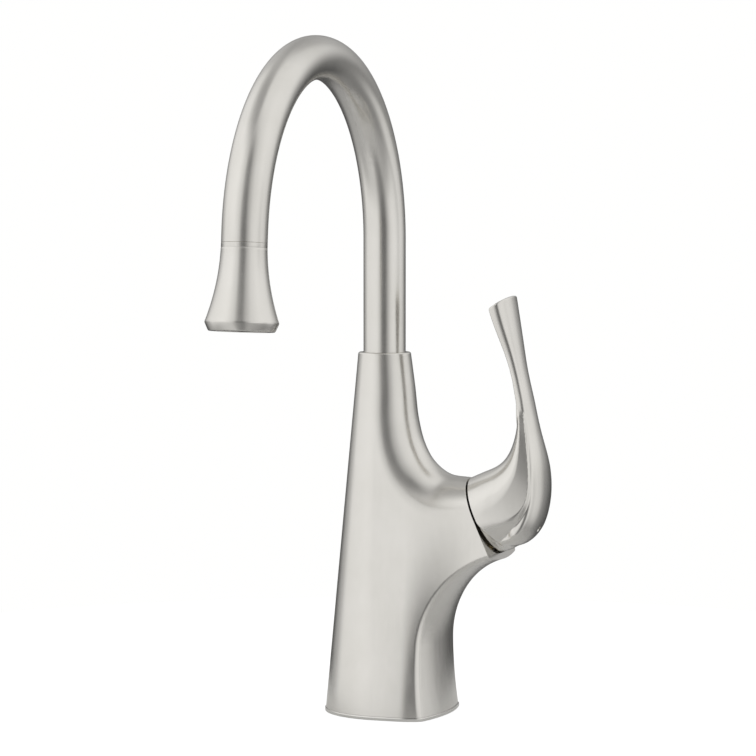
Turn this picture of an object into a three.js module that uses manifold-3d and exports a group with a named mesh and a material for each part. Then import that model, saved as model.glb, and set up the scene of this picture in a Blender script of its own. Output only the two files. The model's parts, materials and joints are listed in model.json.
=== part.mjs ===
// Gooseneck bar faucet with one side lever, in millimetres.
// The origin lies in the deck plane, on the axis that the spout turns about. +Z is up, the spout
// reaches towards -Y and the lever stands on the +X side.

import * as THREE from 'three';
import { mergeVertices } from 'three/addons/utils/BufferGeometryUtils.js';
import Module from 'manifold-3d';

const wasm = await Module();
wasm.setup();

const degrees = Math.PI / 180;

// ---------------------------------------------------------------------------------------------
// Driving dimensions
// ---------------------------------------------------------------------------------------------

// Clearances
const fitGap = 0.3; // between pieces that touch or slide on each other
const skirtGap = 1.2; // between the arm's mouth and the handle's skirt

// Spout tube
const tubeRadius = 11.1;
const tubeWall = 1.2;
const archRadius = 92.75;
const archCentreHeight = 249.2;
const archSweep = 175 * degrees;
const legLength = 5;
const tubeInsertion = 38; // how far the tube reaches down into the tower

// Outlet bell, measured along the spout's leg
const bellLength = 42.2;
const bellFlareLength = 38;
const bellFlare = 6.7;
const bellChamfer = 1.9;
const bellBandLength = 2.4;
const bellGroove = 0.35;
const bellSocketDepth = 12;
const bellThroatRadius = 9;
const aeratorRadius = 12.7;
const aeratorLength = 10.6;
const aeratorRecess = 0.6;
const aeratorWall = 1.9;

// Tower of the body
const towerHeight = 190;
const tubeFootHeight = towerHeight - tubeInsertion;
const collarRadius = 13.8;
const collarRounding = 0.8;
const footBackRadius = 31.3;
const footHalfDepth = 33;
const footCentreShift = 5;
const shellWall = 3;
const trimHeight = 1.7;
const trimProud = 0.5;

// Arm of the body. Its mouth is a flat face whose axis rises towards +X.
const mouthX = 57.2;
const mouthHeight = 105.1;
const mouthRise = 24 * degrees;
const mouthHalfWidth = 21.5;
const mouthTop = 22.1;
const mouthDepth = 9;
const mouthFootRise = 2.5; // how much shallower the mouth is below its axis than above
const pocketRoundRadius = 21.2; // rounds the lower corners inside the mouth
const mouthWall = 1.4;
const armBlendStart = 20;
const sideRoundRadius = 75;
const sideRoundTop = 90;

// Cove under the arm
const coveRadius = 51.2;
const coveCentreX = 80.5;
const coveCentreHeight = 38;
const coveFootFlare = 3;
const coveBow = 3.6;
const coveBowHalfDepth = 26;

// Bores of the body
const glideRingOuterRadius = 12.7;
const glideRingHeight = 7.6;
const collarLipHeight = 14;
const armCavityDepth = 45;
const thrustRingThickness = 1.4;
const spigotFlangeHeight = 2.2;
const shoulderThickness = 2.5;
const shoulderBoreSlack = 1.1; // more play for the clamped shoulder, so that the nut centres it
const columnHeadroom = 0.5; // from the valve body's column up to the narrow bore

// Valve body
const columnRadius = 12.7;
const socketRadius = 10.4;
const socketDepth = 23.5;
const blockHalfWidth = 12.5;
const blockHalfDepth = 14.5;
const blockCorner = 4;
const blockTop = 95;
const blockFoot = 20;
const cupWall = 2.5;
const cupFloor = 7;
const neckRadius = 14.5;
const outletDrillRadius = 3.5;
const outletDrillRise = 6;
const outletBoreRadius = 4.5;
const supplyDrillRadius = 2.8;
const supplyDrillDrop = 6;
const supplyX = 6;
const supplyY = 9;
const legX = -9;
const legY = 11;
const legRadius = 4.5;

// Cartridge, measured along the mouth's axis
const cartridgeRadius = 15.5;
const cartridgeNeckRadius = 11.6;
const driverRadius = 9;
const discRadius = 9;
const discThickness = 2.7;
const fixedDiscRadius = 12.6;
const carrierThickness = 2.5;
const cartridgeBaseThickness = 5;
const portSealThickness = 1.4;
const nutThreadLength = 3.7;
const nutFlangeRadius = 18.2;
const nutFlangeThickness = 2.1;
const nutCollarRadius = 13;
const nutCollarLength = 4;

// Handle
const pivotOffset = 6; // from the mouth's plane out to the pivot pin
const flowSwing = 18 * degrees;
const bonnetRadius = 17.7;
const bonnetWall = 1.8;
const bonnetNeckWall = 1.2;
const bonnetOpening = 50 * degrees;
const skirtRadius = 20.5;
const cavityRadius = 18.3;
const bossRadius = 7;
const bossDepth = 10;
const stemHalfWidth = 3.5;
const stemHalfThickness = 2.6;
const stemReach = 31;
const stemTipRadius = 2.6;
const pinRadius = 1.5;
const setScrewRadius = 1.2;
const setScrewLength = 7;
const setScrewOffset = 24;
const leverRise = 100; // from the mouth's axis up to the lever's tip, the measure of its outlines
const cheekEndUp = -3;
const cheekEndTilt = 17.5 * degrees;

// Base
const plateThickness = 6;
const plateRadius = 24;
const gasketWidth = 3;
const inletRadius = 6.3;
const inletBoreRadius = 3.2;
const inletNippleRadius = 4.4;
const inletNippleLength = 8;
const inletFoot = 1;
const inletSealThickness = 1.4;
const plateScrewRadius = 2;
const plateScrewHeadRadius = 3.6;
const plateScrewHeadHeight = 2.6;
const plateScrewLength = 12;
const plateScrewRecess = 0.4;

// ---------------------------------------------------------------------------------------------
// Materials
// ---------------------------------------------------------------------------------------------

const finish = (colour, roughness, metalness) =>
  new THREE.MeshStandardMaterial({ color: colour, roughness, metalness });

const brushedNickel = () => finish(0xbdbab4, 0.34, 1);
const polishedNickel = () => finish(0xd0cec9, 0.2, 1);
const brass = () => finish(0xb99a5b, 0.4, 1);
const steel = () => finish(0xa9abad, 0.3, 1);
const ceramic = () => finish(0xe9e6df, 0.25, 0);
const blackRubber = () => finish(0x1c1c1d, 0.8, 0);
const darkPlastic = () => finish(0x504e49, 0.5, 0);
const whitePlastic = () => finish(0xdad8d2, 0.5, 0);

// ---------------------------------------------------------------------------------------------
// Solids
// ---------------------------------------------------------------------------------------------

// Signed volume of an indexed mesh: negative where its faces point inwards.
function signedVolume(positions, index) {
  const a = new THREE.Vector3();
  const b = new THREE.Vector3();
  const c = new THREE.Vector3();
  let volume = 0;
  for (let i = 0; i < index.length; i += 3) {
    a.fromArray(positions, index[i] * 3);
    b.fromArray(positions, index[i + 1] * 3);
    c.fromArray(positions, index[i + 2] * 3);
    volume += a.dot(b.cross(c)) / 6;
  }
  return volume;
}

// A closed three.js geometry as a solid that can be joined and cut.
function solid(geometry) {
  const bare = geometry.clone();
  bare.deleteAttribute('normal');
  bare.deleteAttribute('uv');
  const merged = mergeVertices(bare, 1e-4);
  const positions = merged.attributes.position.array;
  const triangles = [];
  for (let i = 0; i < merged.index.count; i += 3) {
    const [a, b, c] = merged.index.array.slice(i, i + 3);
    if (a !== b && b !== c && c !== a) triangles.push(a, b, c);
  }
  if (signedVolume(positions, triangles) < 0) triangles.reverse();
  return new wasm.Manifold(new wasm.Mesh({
    numProp: 3,
    vertProperties: new Float32Array(positions),
    triVerts: new Uint32Array(triangles),
  }));
}

// A solid back as a three.js geometry.
function geometryOf(manifold) {
  const mesh = manifold.getMesh();
  const geometry = new THREE.BufferGeometry();
  geometry.setAttribute('position', new THREE.BufferAttribute(new Float32Array(mesh.vertProperties), 3));
  geometry.setIndex(new THREE.BufferAttribute(new Uint32Array(mesh.triVerts), 1));
  geometry.computeVertexNormals();
  return geometry;
}

const union = (...solids) => solids.reduce((sum, next) => sum.add(next));
const cut = (from, ...tools) => tools.reduce((rest, tool) => rest.subtract(tool), from);

// A closed profile of [radius, height] points turned about Z.
function turned(profile, segments = 28) {
  const points = profile.map(([radius, height]) => new THREE.Vector2(radius, height));
  return new THREE.LatheGeometry(points, segments).rotateX(Math.PI / 2);
}

// A cylinder on the Z axis between two heights.
function rod(radius, low, high, segments = 20) {
  return turned([[0, low], [radius, low], [radius, high], [0, high]], segments);
}

// A ring on the Z axis between two heights.
function ring(inner, outer, low, high, segments = 28) {
  return turned([[inner, low], [outer, low], [outer, high], [inner, high], [inner, low]], segments);
}

// A ring of round section on the Z axis.
function roundRing(inner, outer, centreHeight) {
  const section = (outer - inner) / 2;
  return new THREE.TorusGeometry(inner + section, section, 6, 24).translate(0, 0, centreHeight);
}

// An upright block between two corners.
function block([x0, y0, z0], [x1, y1, z1]) {
  const geometry = new THREE.BoxGeometry(x1 - x0, y1 - y0, z1 - z0);
  return geometry.translate((x0 + x1) / 2, (y0 + y1) / 2, (z0 + z1) / 2);
}

// Closed rings of points, one after the other, joined by a skin and closed by a flat cap at each end.
function loft(rings) {
  const count = rings[0].length;
  const positions = rings.flat().flatMap((point) => point.toArray());
  const index = [];
  for (let j = 0; j + 1 < rings.length; j += 1) {
    for (let i = 0; i < count; i += 1) {
      const a = j * count + i;
      const b = j * count + ((i + 1) % count);
      index.push(a, b, b + count, a, b + count, a + count);
    }
  }
  const cap = (start, points, flip) => {
    const centre = points.reduce((sum, point) => sum.add(point), new THREE.Vector3());
    const middle = positions.length / 3;
    positions.push(...centre.divideScalar(count).toArray());
    for (let i = 0; i < count; i += 1) {
      const a = start + i;
      const b = start + ((i + 1) % count);
      index.push(...(flip ? [middle, b, a] : [middle, a, b]));
    }
  };
  cap(0, rings[0], true);
  cap((rings.length - 1) * count, rings[rings.length - 1], false);
  const geometry = new THREE.BufferGeometry();
  geometry.setAttribute('position', new THREE.Float32BufferAttribute(positions, 3));
  geometry.setIndex(index);
  return geometry;
}

const mix = (from, to, share) => from + (to - from) * share;

function smooth(share) {
  const s = THREE.MathUtils.clamp(share, 0, 1);
  return s * s * (3 - 2 * s);
}

// Height of a quarter round at a distance from its edge, as a share of full height.
function quarterRound(distance, radius) {
  const rest = 1 - THREE.MathUtils.clamp(distance / radius, 0, 1);
  return Math.sqrt(1 - rest * rest);
}

// ---------------------------------------------------------------------------------------------
// Frames: the mouth's axis and the end of the spout
// ---------------------------------------------------------------------------------------------

// The valve frame has its origin at the mouth's centre, +Z out along the mouth's axis and +X down
// across the mouth. Distances along its Z are called out, distances against its X are called up.
const valveFrame = new THREE.Matrix4()
  .makeRotationY(Math.PI / 2 - mouthRise)
  .setPosition(mouthX, 0, mouthHeight);

const outAxis = new THREE.Vector3(Math.cos(mouthRise), 0, Math.sin(mouthRise));
const upAxis = new THREE.Vector3(-Math.sin(mouthRise), 0, Math.cos(mouthRise));
const mouthCentre = new THREE.Vector3(mouthX, 0, mouthHeight);

// A point of the valve frame, in the part's own frame.
function fromMouth(out, up, y = 0) {
  return mouthCentre.clone().addScaledVector(outAxis, out).addScaledVector(upAxis, up).setY(y);
}

const archEnd = new THREE.Vector3(
  0,
  archRadius * (Math.cos(archSweep) - 1),
  archCentreHeight + archRadius * Math.sin(archSweep),
);
const legDirection = new THREE.Vector3(0, -Math.sin(archSweep), Math.cos(archSweep));
const seam = archEnd.clone().addScaledVector(legDirection, legLength);

// The outlet frame has its origin at the seam between tube and bell, and +Z down the leg.
const outletFrame = new THREE.Matrix4().makeRotationX(archSweep).setPosition(seam);

// ---------------------------------------------------------------------------------------------
// Parts
// ---------------------------------------------------------------------------------------------

const faucet = new THREE.Group();

function addPart(name, manifold, material, frame) {
  const mesh = new THREE.Mesh(geometryOf(manifold), material);
  mesh.name = name;
  if (frame) mesh.applyMatrix4(frame);
  faucet.add(mesh);
}

// ---------------------------------------------------------------------------------------------
// Body shell
// ---------------------------------------------------------------------------------------------

const towerShare = (height) => (towerHeight - height) / towerHeight;
const backRadius = (height) => mix(collarRadius, footBackRadius, towerShare(height));
const towerHalfDepth = (height) => mix(collarRadius, footHalfDepth, towerShare(height));
const towerCentre = (height) => footCentreShift * towerShare(height);

const blankFoot = -12;
const blankFootRound = 8;

// Towards the cove the front and the rear of the tower curve in, less and less with height.
function coveSideRound(x, height) {
  const flatness = Math.max(0, 1 - (Math.max(0, height) / sideRoundTop) ** 3);
  const reach = (Math.max(0, x - towerCentre(height)) / sideRoundRadius) * flatness;
  return Math.sqrt(Math.max(0.1, 1 - reach * reach));
}

// Half the body's depth along Y where neither its back nor its upper edge rounds it off.
function fullHalfDepth(x, height) {
  const share = smooth((x - armBlendStart) / (mouthX - armBlendStart));
  return mix(towerHalfDepth(height) * coveSideRound(x, height), mouthHalfWidth, share);
}

// The back of the tower is an ellipse in plan, from the widest place round to the back.
function backRound(x, height) {
  const centre = towerCentre(height);
  const reach = Math.max(0, centre - x) / (centre + backRadius(height));
  return Math.sqrt(Math.max(0, 1 - reach * reach));
}

// Upper edge of the body seen from the front: down the collar side and out along the arm's top.
// Its points are shares of the way out and of the way down from the collar to the mouth.
const shoulderShares = [
  [0, 0],
  [0.07, 0.278],
  [0.128, 0.541],
  [0.224, 0.733],
  [0.375, 0.873],
  [0.634, 0.974],
  [1, 1],
];
const collarEdge = new THREE.Vector3(collarRadius, 0, towerHeight);
const mouthEdge = fromMouth(0, mouthTop);
const shoulderCurve = new THREE.CatmullRomCurve3(
  shoulderShares.map(([out, down]) => new THREE.Vector3(
    mix(collarEdge.x, mouthEdge.x, out),
    0,
    mix(collarEdge.z, mouthEdge.z, down),
  )),
  false,
  'centripetal',
);

// Sections of the body fan out from a level one at the collar to one in the plane of the mouth.
const fanBend = 2.8;

function fanLine(share) {
  const near = shoulderCurve.getPointAt(share);
  const turn = Math.PI + (Math.PI / 2 + mouthRise) * share ** fanBend;
  const direction = new THREE.Vector3(Math.cos(turn), 0, Math.sin(turn));
  const backLean = (footBackRadius - collarRadius) / towerHeight;
  const toBack = (-backRadius(near.z) - near.x) / (direction.x - backLean * direction.z);
  const toFoot = direction.z < 0 ? (blankFoot - near.z) / direction.z : Infinity;
  const meetsBack = toBack > 0 && toBack < toFoot;
  return { near, direction, meetsBack, length: meetsBack ? toBack : toFoot };
}

// The section that runs into the corner between the back of the tower and the foot.
function cornerShare() {
  let low = 0;
  let high = 1;
  for (let i = 0; i < 40; i += 1) {
    const middle = (low + high) / 2;
    if (fanLine(middle).meetsBack) low = middle;
    else high = middle;
  }
  return low;
}

function bodyBlank(backStations, footStations, across) {
  const rings = [];
  const corner = cornerShare();
  for (let j = 0; j <= backStations + footStations; j += 1) {
    const share = j <= backStations
      ? corner * (j / backStations)
      : mix(corner, 1, (j - backStations) / footStations);
    const { near, direction, length } = fanLine(share);
    const edgeRound = fullHalfDepth(near.x, near.z);
    const side = [];
    for (let i = 0; i <= across; i += 1) {
      const distance = (length * (1 - Math.cos((Math.PI * i) / across))) / 2;
      const point = near.clone().addScaledVector(direction, distance);
      const half = fullHalfDepth(point.x, point.z)
        * backRound(point.x, point.z)
        * quarterRound(distance, edgeRound)
        * quarterRound(point.z - blankFoot, blankFootRound);
      side.push(point.setY(half));
    }
    const mirrored = side.slice(1, -1).reverse().map((point) => point.clone().setY(-point.y));
    rings.push([...side, ...mirrored]);
  }
  const collar = rings[0];
  const shrink = 1 - collarRounding / collarRadius;
  const rim = collar.map((point) => new THREE.Vector3(point.x * shrink, point.y * shrink, towerHeight));
  collar.forEach((point) => point.setZ(towerHeight - collarRounding));
  return solid(loft([rim, ...rings]));
}

// The space under the arm: a scoop whose face bows outwards between its front and back edges.
function coveSpace() {
  const reach = 2 * coveCentreX;
  const topTurn = 60;
  const halfDepth = 1.25 * footHalfDepth;
  const sections = 12;
  const rings = [];
  for (let j = 0; j <= sections; j += 1) {
    const y = mix(-halfDepth, halfDepth, j / sections);
    const bow = coveBow * (1 - (y / coveBowHalfDepth) ** 2);
    const profile = [new THREE.Vector3(reach, y, blankFoot - 1)];
    const steps = 5;
    for (let i = 0; i < steps; i += 1) {
      const z = mix(blankFoot - 1, coveCentreHeight, i / steps);
      const drop = (coveCentreHeight - z) / coveCentreHeight;
      const x = coveCentreX - coveRadius + bow + coveFootFlare * drop ** 2;
      profile.push(new THREE.Vector3(x, y, z));
    }
    for (let turn = 180; turn >= topTurn; turn -= 6) {
      const x = coveCentreX + (coveRadius - bow) * Math.cos(turn * degrees);
      const z = coveCentreHeight + (coveRadius - bow) * Math.sin(turn * degrees);
      profile.push(new THREE.Vector3(x, y, z));
    }
    profile.push(new THREE.Vector3(reach, y, coveCentreHeight + coveRadius));
    rings.push(profile);
  }
  return solid(loft(rings));
}

// A block below a height, to cut what lies under it.
const belowHeight = (height) => solid(block([-80, -80, height - 60], [180, 80, height]));

// Heights of the pieces stacked under the tube's foot
const flangeTop = tubeFootHeight - fitGap;
const flangeFoot = flangeTop - spigotFlangeHeight;
const thrustRingTop = flangeFoot - fitGap;
const columnTop = thrustRingTop - thrustRingThickness - fitGap;
const towerCavityTop = columnTop + columnHeadroom;

const bodyFoot = trimHeight + fitGap;
const wholeBody = cut(bodyBlank(14, 9, 20), coveSpace());

// An ellipse in plan between a left and a right end.
function planEllipse(left, right, halfDepth, height, segments = 32) {
  const points = [];
  for (let i = 0; i < segments; i += 1) {
    const turn = (2 * Math.PI * i) / segments;
    const x = (left + right) / 2 + ((right - left) / 2) * Math.cos(turn);
    points.push(new THREE.Vector3(x, halfDepth * Math.sin(turn), height));
  }
  return points;
}

const coveWaist = coveCentreX - coveRadius;

function towerCavity() {
  const inside = (height, right) =>
    planEllipse(-backRadius(height) + shellWall, right, towerHalfDepth(height) - shellWall, height);
  return solid(loft([
    inside(-1, coveWaist + coveFootFlare),
    inside(coveCentreHeight, coveWaist),
    inside(towerCavityTop, backRadius(towerCavityTop) - shellWall),
  ]));
}

// Outline of the mouth drawn in by a margin: a half round on straight sides with a shallow foot.
function mouthOutline(margin) {
  const half = mouthHalfWidth - margin;
  const crown = mouthTop - mouthHalfWidth;
  const foot = mouthHalfWidth - mouthFootRise - margin;
  const shape = new THREE.Shape();
  shape.absarc(-crown, 0, half, Math.PI / 2, (3 * Math.PI) / 2, false);
  shape.lineTo(foot, -half);
  shape.quadraticCurveTo(foot + 2 * coveBow * 0.75, 0, foot, half);
  shape.closePath();
  return shape;
}

function extruded(shape, low, high, curveSegments = 16) {
  const options = { depth: high - low, bevelEnabled: false, curveSegments };
  return new THREE.ExtrudeGeometry(shape, options).translate(0, 0, low);
}

const inValveFrame = (geometry) => solid(geometry.clone().applyMatrix4(valveFrame));

function mouthPocket() {
  const whole = inValveFrame(extruded(mouthOutline(mouthWall), -mouthDepth, 2));
  return whole.intersect(inValveFrame(rod(pocketRoundRadius, -mouthDepth - 1, 3, 48)));
}

const shoulderBoreRadius = cartridgeRadius + fitGap + shoulderBoreSlack;
const cupOuterRadius = cartridgeRadius + fitGap + cupWall;
const recessRadius = glideRingOuterRadius + fitGap;
const lipFoot = towerHeight - collarLipHeight;

const bodyShell = cut(
  wholeBody,
  belowHeight(bodyFoot),
  towerCavity(),
  solid(rod(recessRadius, towerCavityTop - 1, lipFoot, 32)),
  solid(rod(tubeRadius + fitGap, lipFoot - 1, towerHeight + 1, 32)),
  inValveFrame(rod(cupOuterRadius + fitGap, -armCavityDepth, -mouthDepth - shoulderThickness, 32)),
  inValveFrame(rod(shoulderBoreRadius, -mouthDepth - shoulderThickness - 1, -mouthDepth + 1, 32)),
  mouthPocket(),
);
addPart('body_shell', bodyShell, brushedNickel());

// ---------------------------------------------------------------------------------------------
// Foot: trim ring, gasket, mounting plate and its screws
// ---------------------------------------------------------------------------------------------

const gasketOuterLeft = -footBackRadius + shellWall;
const footRight = coveWaist + coveFootFlare;

function footPrism(margin, low, high) {
  const ringAt = (height) => planEllipse(
    gasketOuterLeft + margin,
    footRight - margin,
    footHalfDepth - shellWall - margin,
    height,
  );
  return solid(loft([ringAt(low), ringAt(high)]));
}

function trimRing() {
  const slab = solid(block([-60, -60, 0], [60, 60, trimHeight]));
  const spreadX = 1 + trimProud / footBackRadius;
  const outline = wholeBody.scale([spreadX, spreadX, 1]).intersect(slab);
  return cut(outline, footPrism(0, -1, trimHeight + 1));
}
addPart('base_trim_ring', trimRing(), polishedNickel());

const gasket = cut(
  footPrism(fitGap, 0, trimHeight),
  footPrism(fitGap + gasketWidth, -1, trimHeight + 1),
);
addPart('base_gasket', gasket, blackRubber());

const screwPlaces = [-legY, legY];
const supplyPlaces = [-supplyY, supplyY];
const plateTop = plateThickness;

function mountingPlate() {
  let plate = solid(rod(plateRadius, 0, plateTop, 40));
  for (const y of supplyPlaces) {
    plate = cut(plate, solid(rod(inletRadius + 2 * fitGap, -1, plateTop + 1).translate(supplyX, y, 0)));
  }
  for (const y of screwPlaces) {
    const headSpace = rod(plateScrewHeadRadius + fitGap, -1, plateScrewRecess + plateScrewHeadHeight + fitGap);
    plate = cut(
      plate,
      solid(rod(plateScrewRadius + fitGap, -1, plateTop + 1).translate(legX, y, 0)),
      solid(headSpace.translate(legX, y, 0)),
    );
  }
  return plate;
}
addPart('mounting_plate', mountingPlate(), steel());

// A socket-head screw standing on its head at the origin.
function socketScrew(headRadius, headHeight, radius, length, socket) {
  const body = turned([
    [0, 0],
    [headRadius, 0],
    [headRadius, headHeight],
    [radius, headHeight],
    [radius, headHeight + length],
    [0, headHeight + length],
  ], 20);
  return cut(solid(body), solid(rod(socket, -1, headHeight * 0.6, 6)));
}

const plateScrew = socketScrew(
  plateScrewHeadRadius,
  plateScrewHeadHeight,
  plateScrewRadius,
  plateScrewLength,
  plateScrewRadius * 0.8,
);
const sideNames = ['front', 'rear'];
screwPlaces.forEach((y, i) => {
  addPart(`plate_screw_${sideNames[i]}`, plateScrew.translate([legX, y, plateScrewRecess]), steel());
});

// ---------------------------------------------------------------------------------------------
// Valve body
// ---------------------------------------------------------------------------------------------

const socketFloor = columnTop - socketDepth;
const cupMouth = -mouthDepth - shoulderThickness - fitGap;
const nutInnerEnd = cupMouth - nutThreadLength + 0.5;
const housingShoulder = nutInnerEnd - fitGap;
const carrierTop = housingShoulder - 2.2;
const carrierFoot = carrierTop - carrierThickness;
const movingDiscTop = carrierFoot - fitGap;
const movingDiscFoot = movingDiscTop - discThickness;
const fixedDiscTop = movingDiscFoot - fitGap;
const fixedDiscFoot = fixedDiscTop - discThickness;
const baseTop = fixedDiscFoot - fitGap;
const baseFoot = baseTop - cartridgeBaseThickness;
const sealTop = baseFoot - fitGap;
const sealFoot = sealTop - portSealThickness;
const cupFloorLevel = sealFoot - fitGap;
const cupBack = cupFloorLevel - cupFloor;

// Distance back along the mouth's axis at which a drilling that starts at a given rise reaches an X.
const drillReach = (x, rise) => (x - mouthX + rise * Math.sin(mouthRise)) / Math.cos(mouthRise);
const drillHeight = (x, rise) =>
  mouthHeight + drillReach(x, rise) * Math.sin(mouthRise) + rise * Math.cos(mouthRise);

function roundedRectangle(halfWidth, halfDepth, corner) {
  const shape = new THREE.Shape();
  shape.absarc(halfWidth - corner, halfDepth - corner, corner, 0, Math.PI / 2, false);
  shape.absarc(corner - halfWidth, halfDepth - corner, corner, Math.PI / 2, Math.PI, false);
  shape.absarc(corner - halfWidth, corner - halfDepth, corner, Math.PI, 1.5 * Math.PI, false);
  shape.absarc(halfWidth - corner, corner - halfDepth, corner, 1.5 * Math.PI, 2 * Math.PI, false);
  shape.closePath();
  return shape;
}

const clipHeight = socketFloor + 5;
const clipThickness = 1.4;
const clipOuterRadius = socketRadius + 1;

function valveBody() {
  const legs = screwPlaces.map((y) =>
    solid(rod(legRadius, plateTop + fitGap, blockFoot + 1).translate(legX, y, 0)));
  const outer = union(
    solid(rod(columnRadius, blockTop - 1, columnTop, 32)),
    solid(extruded(roundedRectangle(blockHalfWidth, blockHalfDepth, blockCorner), blockFoot, blockTop, 5)),
    inValveFrame(rod(cupOuterRadius, cupBack, cupMouth, 32)),
    inValveFrame(rod(neckRadius, drillReach(0, 0) + columnRadius / 2, cupBack + 1, 24)),
    ...legs,
  );
  const outletDrill = rod(outletDrillRadius, drillReach(0, outletDrillRise), cupFloorLevel + 1, 12)
    .translate(-outletDrillRise, 0, 0);
  const tools = [
    solid(rod(socketRadius, socketFloor, columnTop + 1, 32)),
    solid(ring(socketRadius - 1, clipOuterRadius + fitGap, clipHeight - fitGap, clipHeight + clipThickness + fitGap)),
    solid(rod(outletBoreRadius, drillHeight(0, outletDrillRise) - 2, socketFloor + 1, 16)),
    inValveFrame(rod(cartridgeRadius + fitGap, cupFloorLevel, cupMouth + 1, 32)),
    inValveFrame(outletDrill),
  ];
  for (const y of supplyPlaces) {
    const reach = drillReach(supplyX, -supplyDrillDrop);
    const drill = rod(supplyDrillRadius, reach, cupFloorLevel + 1, 12).translate(supplyDrillDrop, y, 0);
    const drillTop = drillHeight(supplyX, -supplyDrillDrop) + supplyDrillRadius;
    tools.push(
      inValveFrame(drill),
      solid(rod(inletBoreRadius, blockFoot - 1, drillTop, 16).translate(supplyX, y, 0)),
      solid(rod(inletNippleRadius + fitGap, blockFoot - 1, blockFoot + inletNippleLength, 24)
        .translate(supplyX, y, 0)),
    );
  }
  for (const y of screwPlaces) {
    const threadTop = plateScrewRecess + plateScrewHeadHeight + plateScrewLength + 2 * fitGap;
    tools.push(solid(rod(plateScrewRadius + fitGap, 0, threadTop, 20).translate(legX, y, 0)));
  }
  return cut(outer, ...tools);
}
addPart('valve_body', valveBody(), brass());

// Inlet fittings: a nipple in the block, a shoulder for the seal and a plain end for a hose.
const inletShoulder = blockFoot - inletSealThickness - 2 * fitGap;
const inletFitting = solid(turned([
  [inletBoreRadius, inletFoot],
  [inletRadius, inletFoot],
  [inletRadius, inletShoulder],
  [inletNippleRadius, inletShoulder],
  [inletNippleRadius, blockFoot + inletNippleLength - fitGap],
  [inletBoreRadius, blockFoot + inletNippleLength - fitGap],
  [inletBoreRadius, inletFoot],
], 24));
const inletSeal = solid(ring(
  inletNippleRadius + fitGap,
  inletRadius,
  inletShoulder + fitGap,
  inletShoulder + fitGap + inletSealThickness,
  24,
));
const supplyNames = ['cold', 'hot'];
supplyPlaces.forEach((y, i) => {
  addPart(`${supplyNames[i]}_inlet_fitting`, inletFitting.translate([supplyX, y, 0]), brass());
  addPart(`${supplyNames[i]}_inlet_seal`, inletSeal.translate([supplyX, y, 0]), blackRubber());
});

// ---------------------------------------------------------------------------------------------
// Spout
// ---------------------------------------------------------------------------------------------

// The centre line of the spout tube: riser, arch and leg, as one path.
class SpoutPath extends THREE.Curve {
  constructor() {
    super();
    this.riser = archCentreHeight - tubeFootHeight;
    this.arch = archRadius * archSweep;
    this.total = this.riser + this.arch + legLength;
  }

  getPoint(share, target = new THREE.Vector3()) {
    const distance = share * this.total;
    if (distance <= this.riser) return target.set(0, 0, tubeFootHeight + distance);
    const turn = Math.min((distance - this.riser) / archRadius, archSweep);
    target.set(0, archRadius * (Math.cos(turn) - 1), archCentreHeight + archRadius * Math.sin(turn));
    return target.addScaledVector(legDirection, Math.max(0, distance - this.riser - this.arch));
  }
}

function spoutTube() {
  const section = new THREE.Shape();
  section.absarc(0, 0, tubeRadius, 0, 2 * Math.PI, false);
  const bore = new THREE.Path();
  bore.absarc(0, 0, tubeRadius - tubeWall, 0, 2 * Math.PI, true);
  section.holes.push(bore);
  return new THREE.ExtrudeGeometry(section, {
    steps: 38,
    curveSegments: 8,
    bevelEnabled: false,
    extrudePath: new SpoutPath(),
  });
}
addPart('spout_tube', solid(spoutTube()), brushedNickel());

// Spigot: brazed into the tube, it turns in the valve body's socket on two seals.
const tubeBore = tubeRadius - tubeWall;
const plugLength = 14;
const spigotRadius = socketRadius - fitGap;
const spigotBore = 6.5;
const sealGrooveRadius = spigotRadius - 1.8;
const sealGrooveWidth = 2.6;
const spigotFoot = socketFloor + 2;
const lowerSealHeight = clipHeight + 6.5;
const upperSealHeight = lowerSealHeight + 6.5;
const clipGrooveRadius = spigotRadius - 1.5;

function spigot() {
  const groove = (low, width, depthRadius) => [
    [spigotRadius, low],
    [depthRadius, low],
    [depthRadius, low + width],
    [spigotRadius, low + width],
  ];
  return solid(turned([
    [spigotBore, spigotFoot],
    [spigotRadius, spigotFoot],
    ...groove(clipHeight - fitGap, clipThickness + 2 * fitGap, clipGrooveRadius),
    ...groove(lowerSealHeight - sealGrooveWidth / 2, sealGrooveWidth, sealGrooveRadius),
    ...groove(upperSealHeight - sealGrooveWidth / 2, sealGrooveWidth, sealGrooveRadius),
    [spigotRadius, flangeFoot],
    [tubeRadius, flangeFoot],
    [tubeRadius, flangeTop],
    [tubeBore - fitGap, flangeTop],
    [tubeBore - fitGap, flangeTop + plugLength],
    [spigotBore, flangeTop + plugLength],
    [spigotBore, spigotFoot],
  ], 28));
}
addPart('spout_spigot', spigot(), brass());

const spoutSeal = (height) => solid(roundRing(sealGrooveRadius + 0.2, socketRadius - 0.05, height));
addPart('spout_seal_lower', spoutSeal(lowerSealHeight), blackRubber());
addPart('spout_seal_upper', spoutSeal(upperSealHeight), blackRubber());

// Retaining clip: an open ring that snaps into the socket's groove.
const clip = cut(
  solid(ring(clipGrooveRadius + fitGap, clipOuterRadius, clipHeight, clipHeight + clipThickness, 28)),
  solid(block([0, -2.5, clipHeight - 1], [20, 2.5, clipHeight + 3])),
);
addPart('spout_retaining_clip', clip, steel());

const thrustRing = ring(spigotRadius + fitGap, columnRadius - 0.2, columnTop + fitGap, thrustRingTop);
addPart('lower_glide_ring', solid(thrustRing), whitePlastic());

const glideTop = lipFoot - fitGap;
const glideRing = ring(tubeRadius + fitGap, glideRingOuterRadius, glideTop - glideRingHeight, glideTop, 28);
addPart('upper_glide_ring', solid(glideRing), whitePlastic());

// ---------------------------------------------------------------------------------------------
// Outlet, in the outlet frame
// ---------------------------------------------------------------------------------------------

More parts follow.
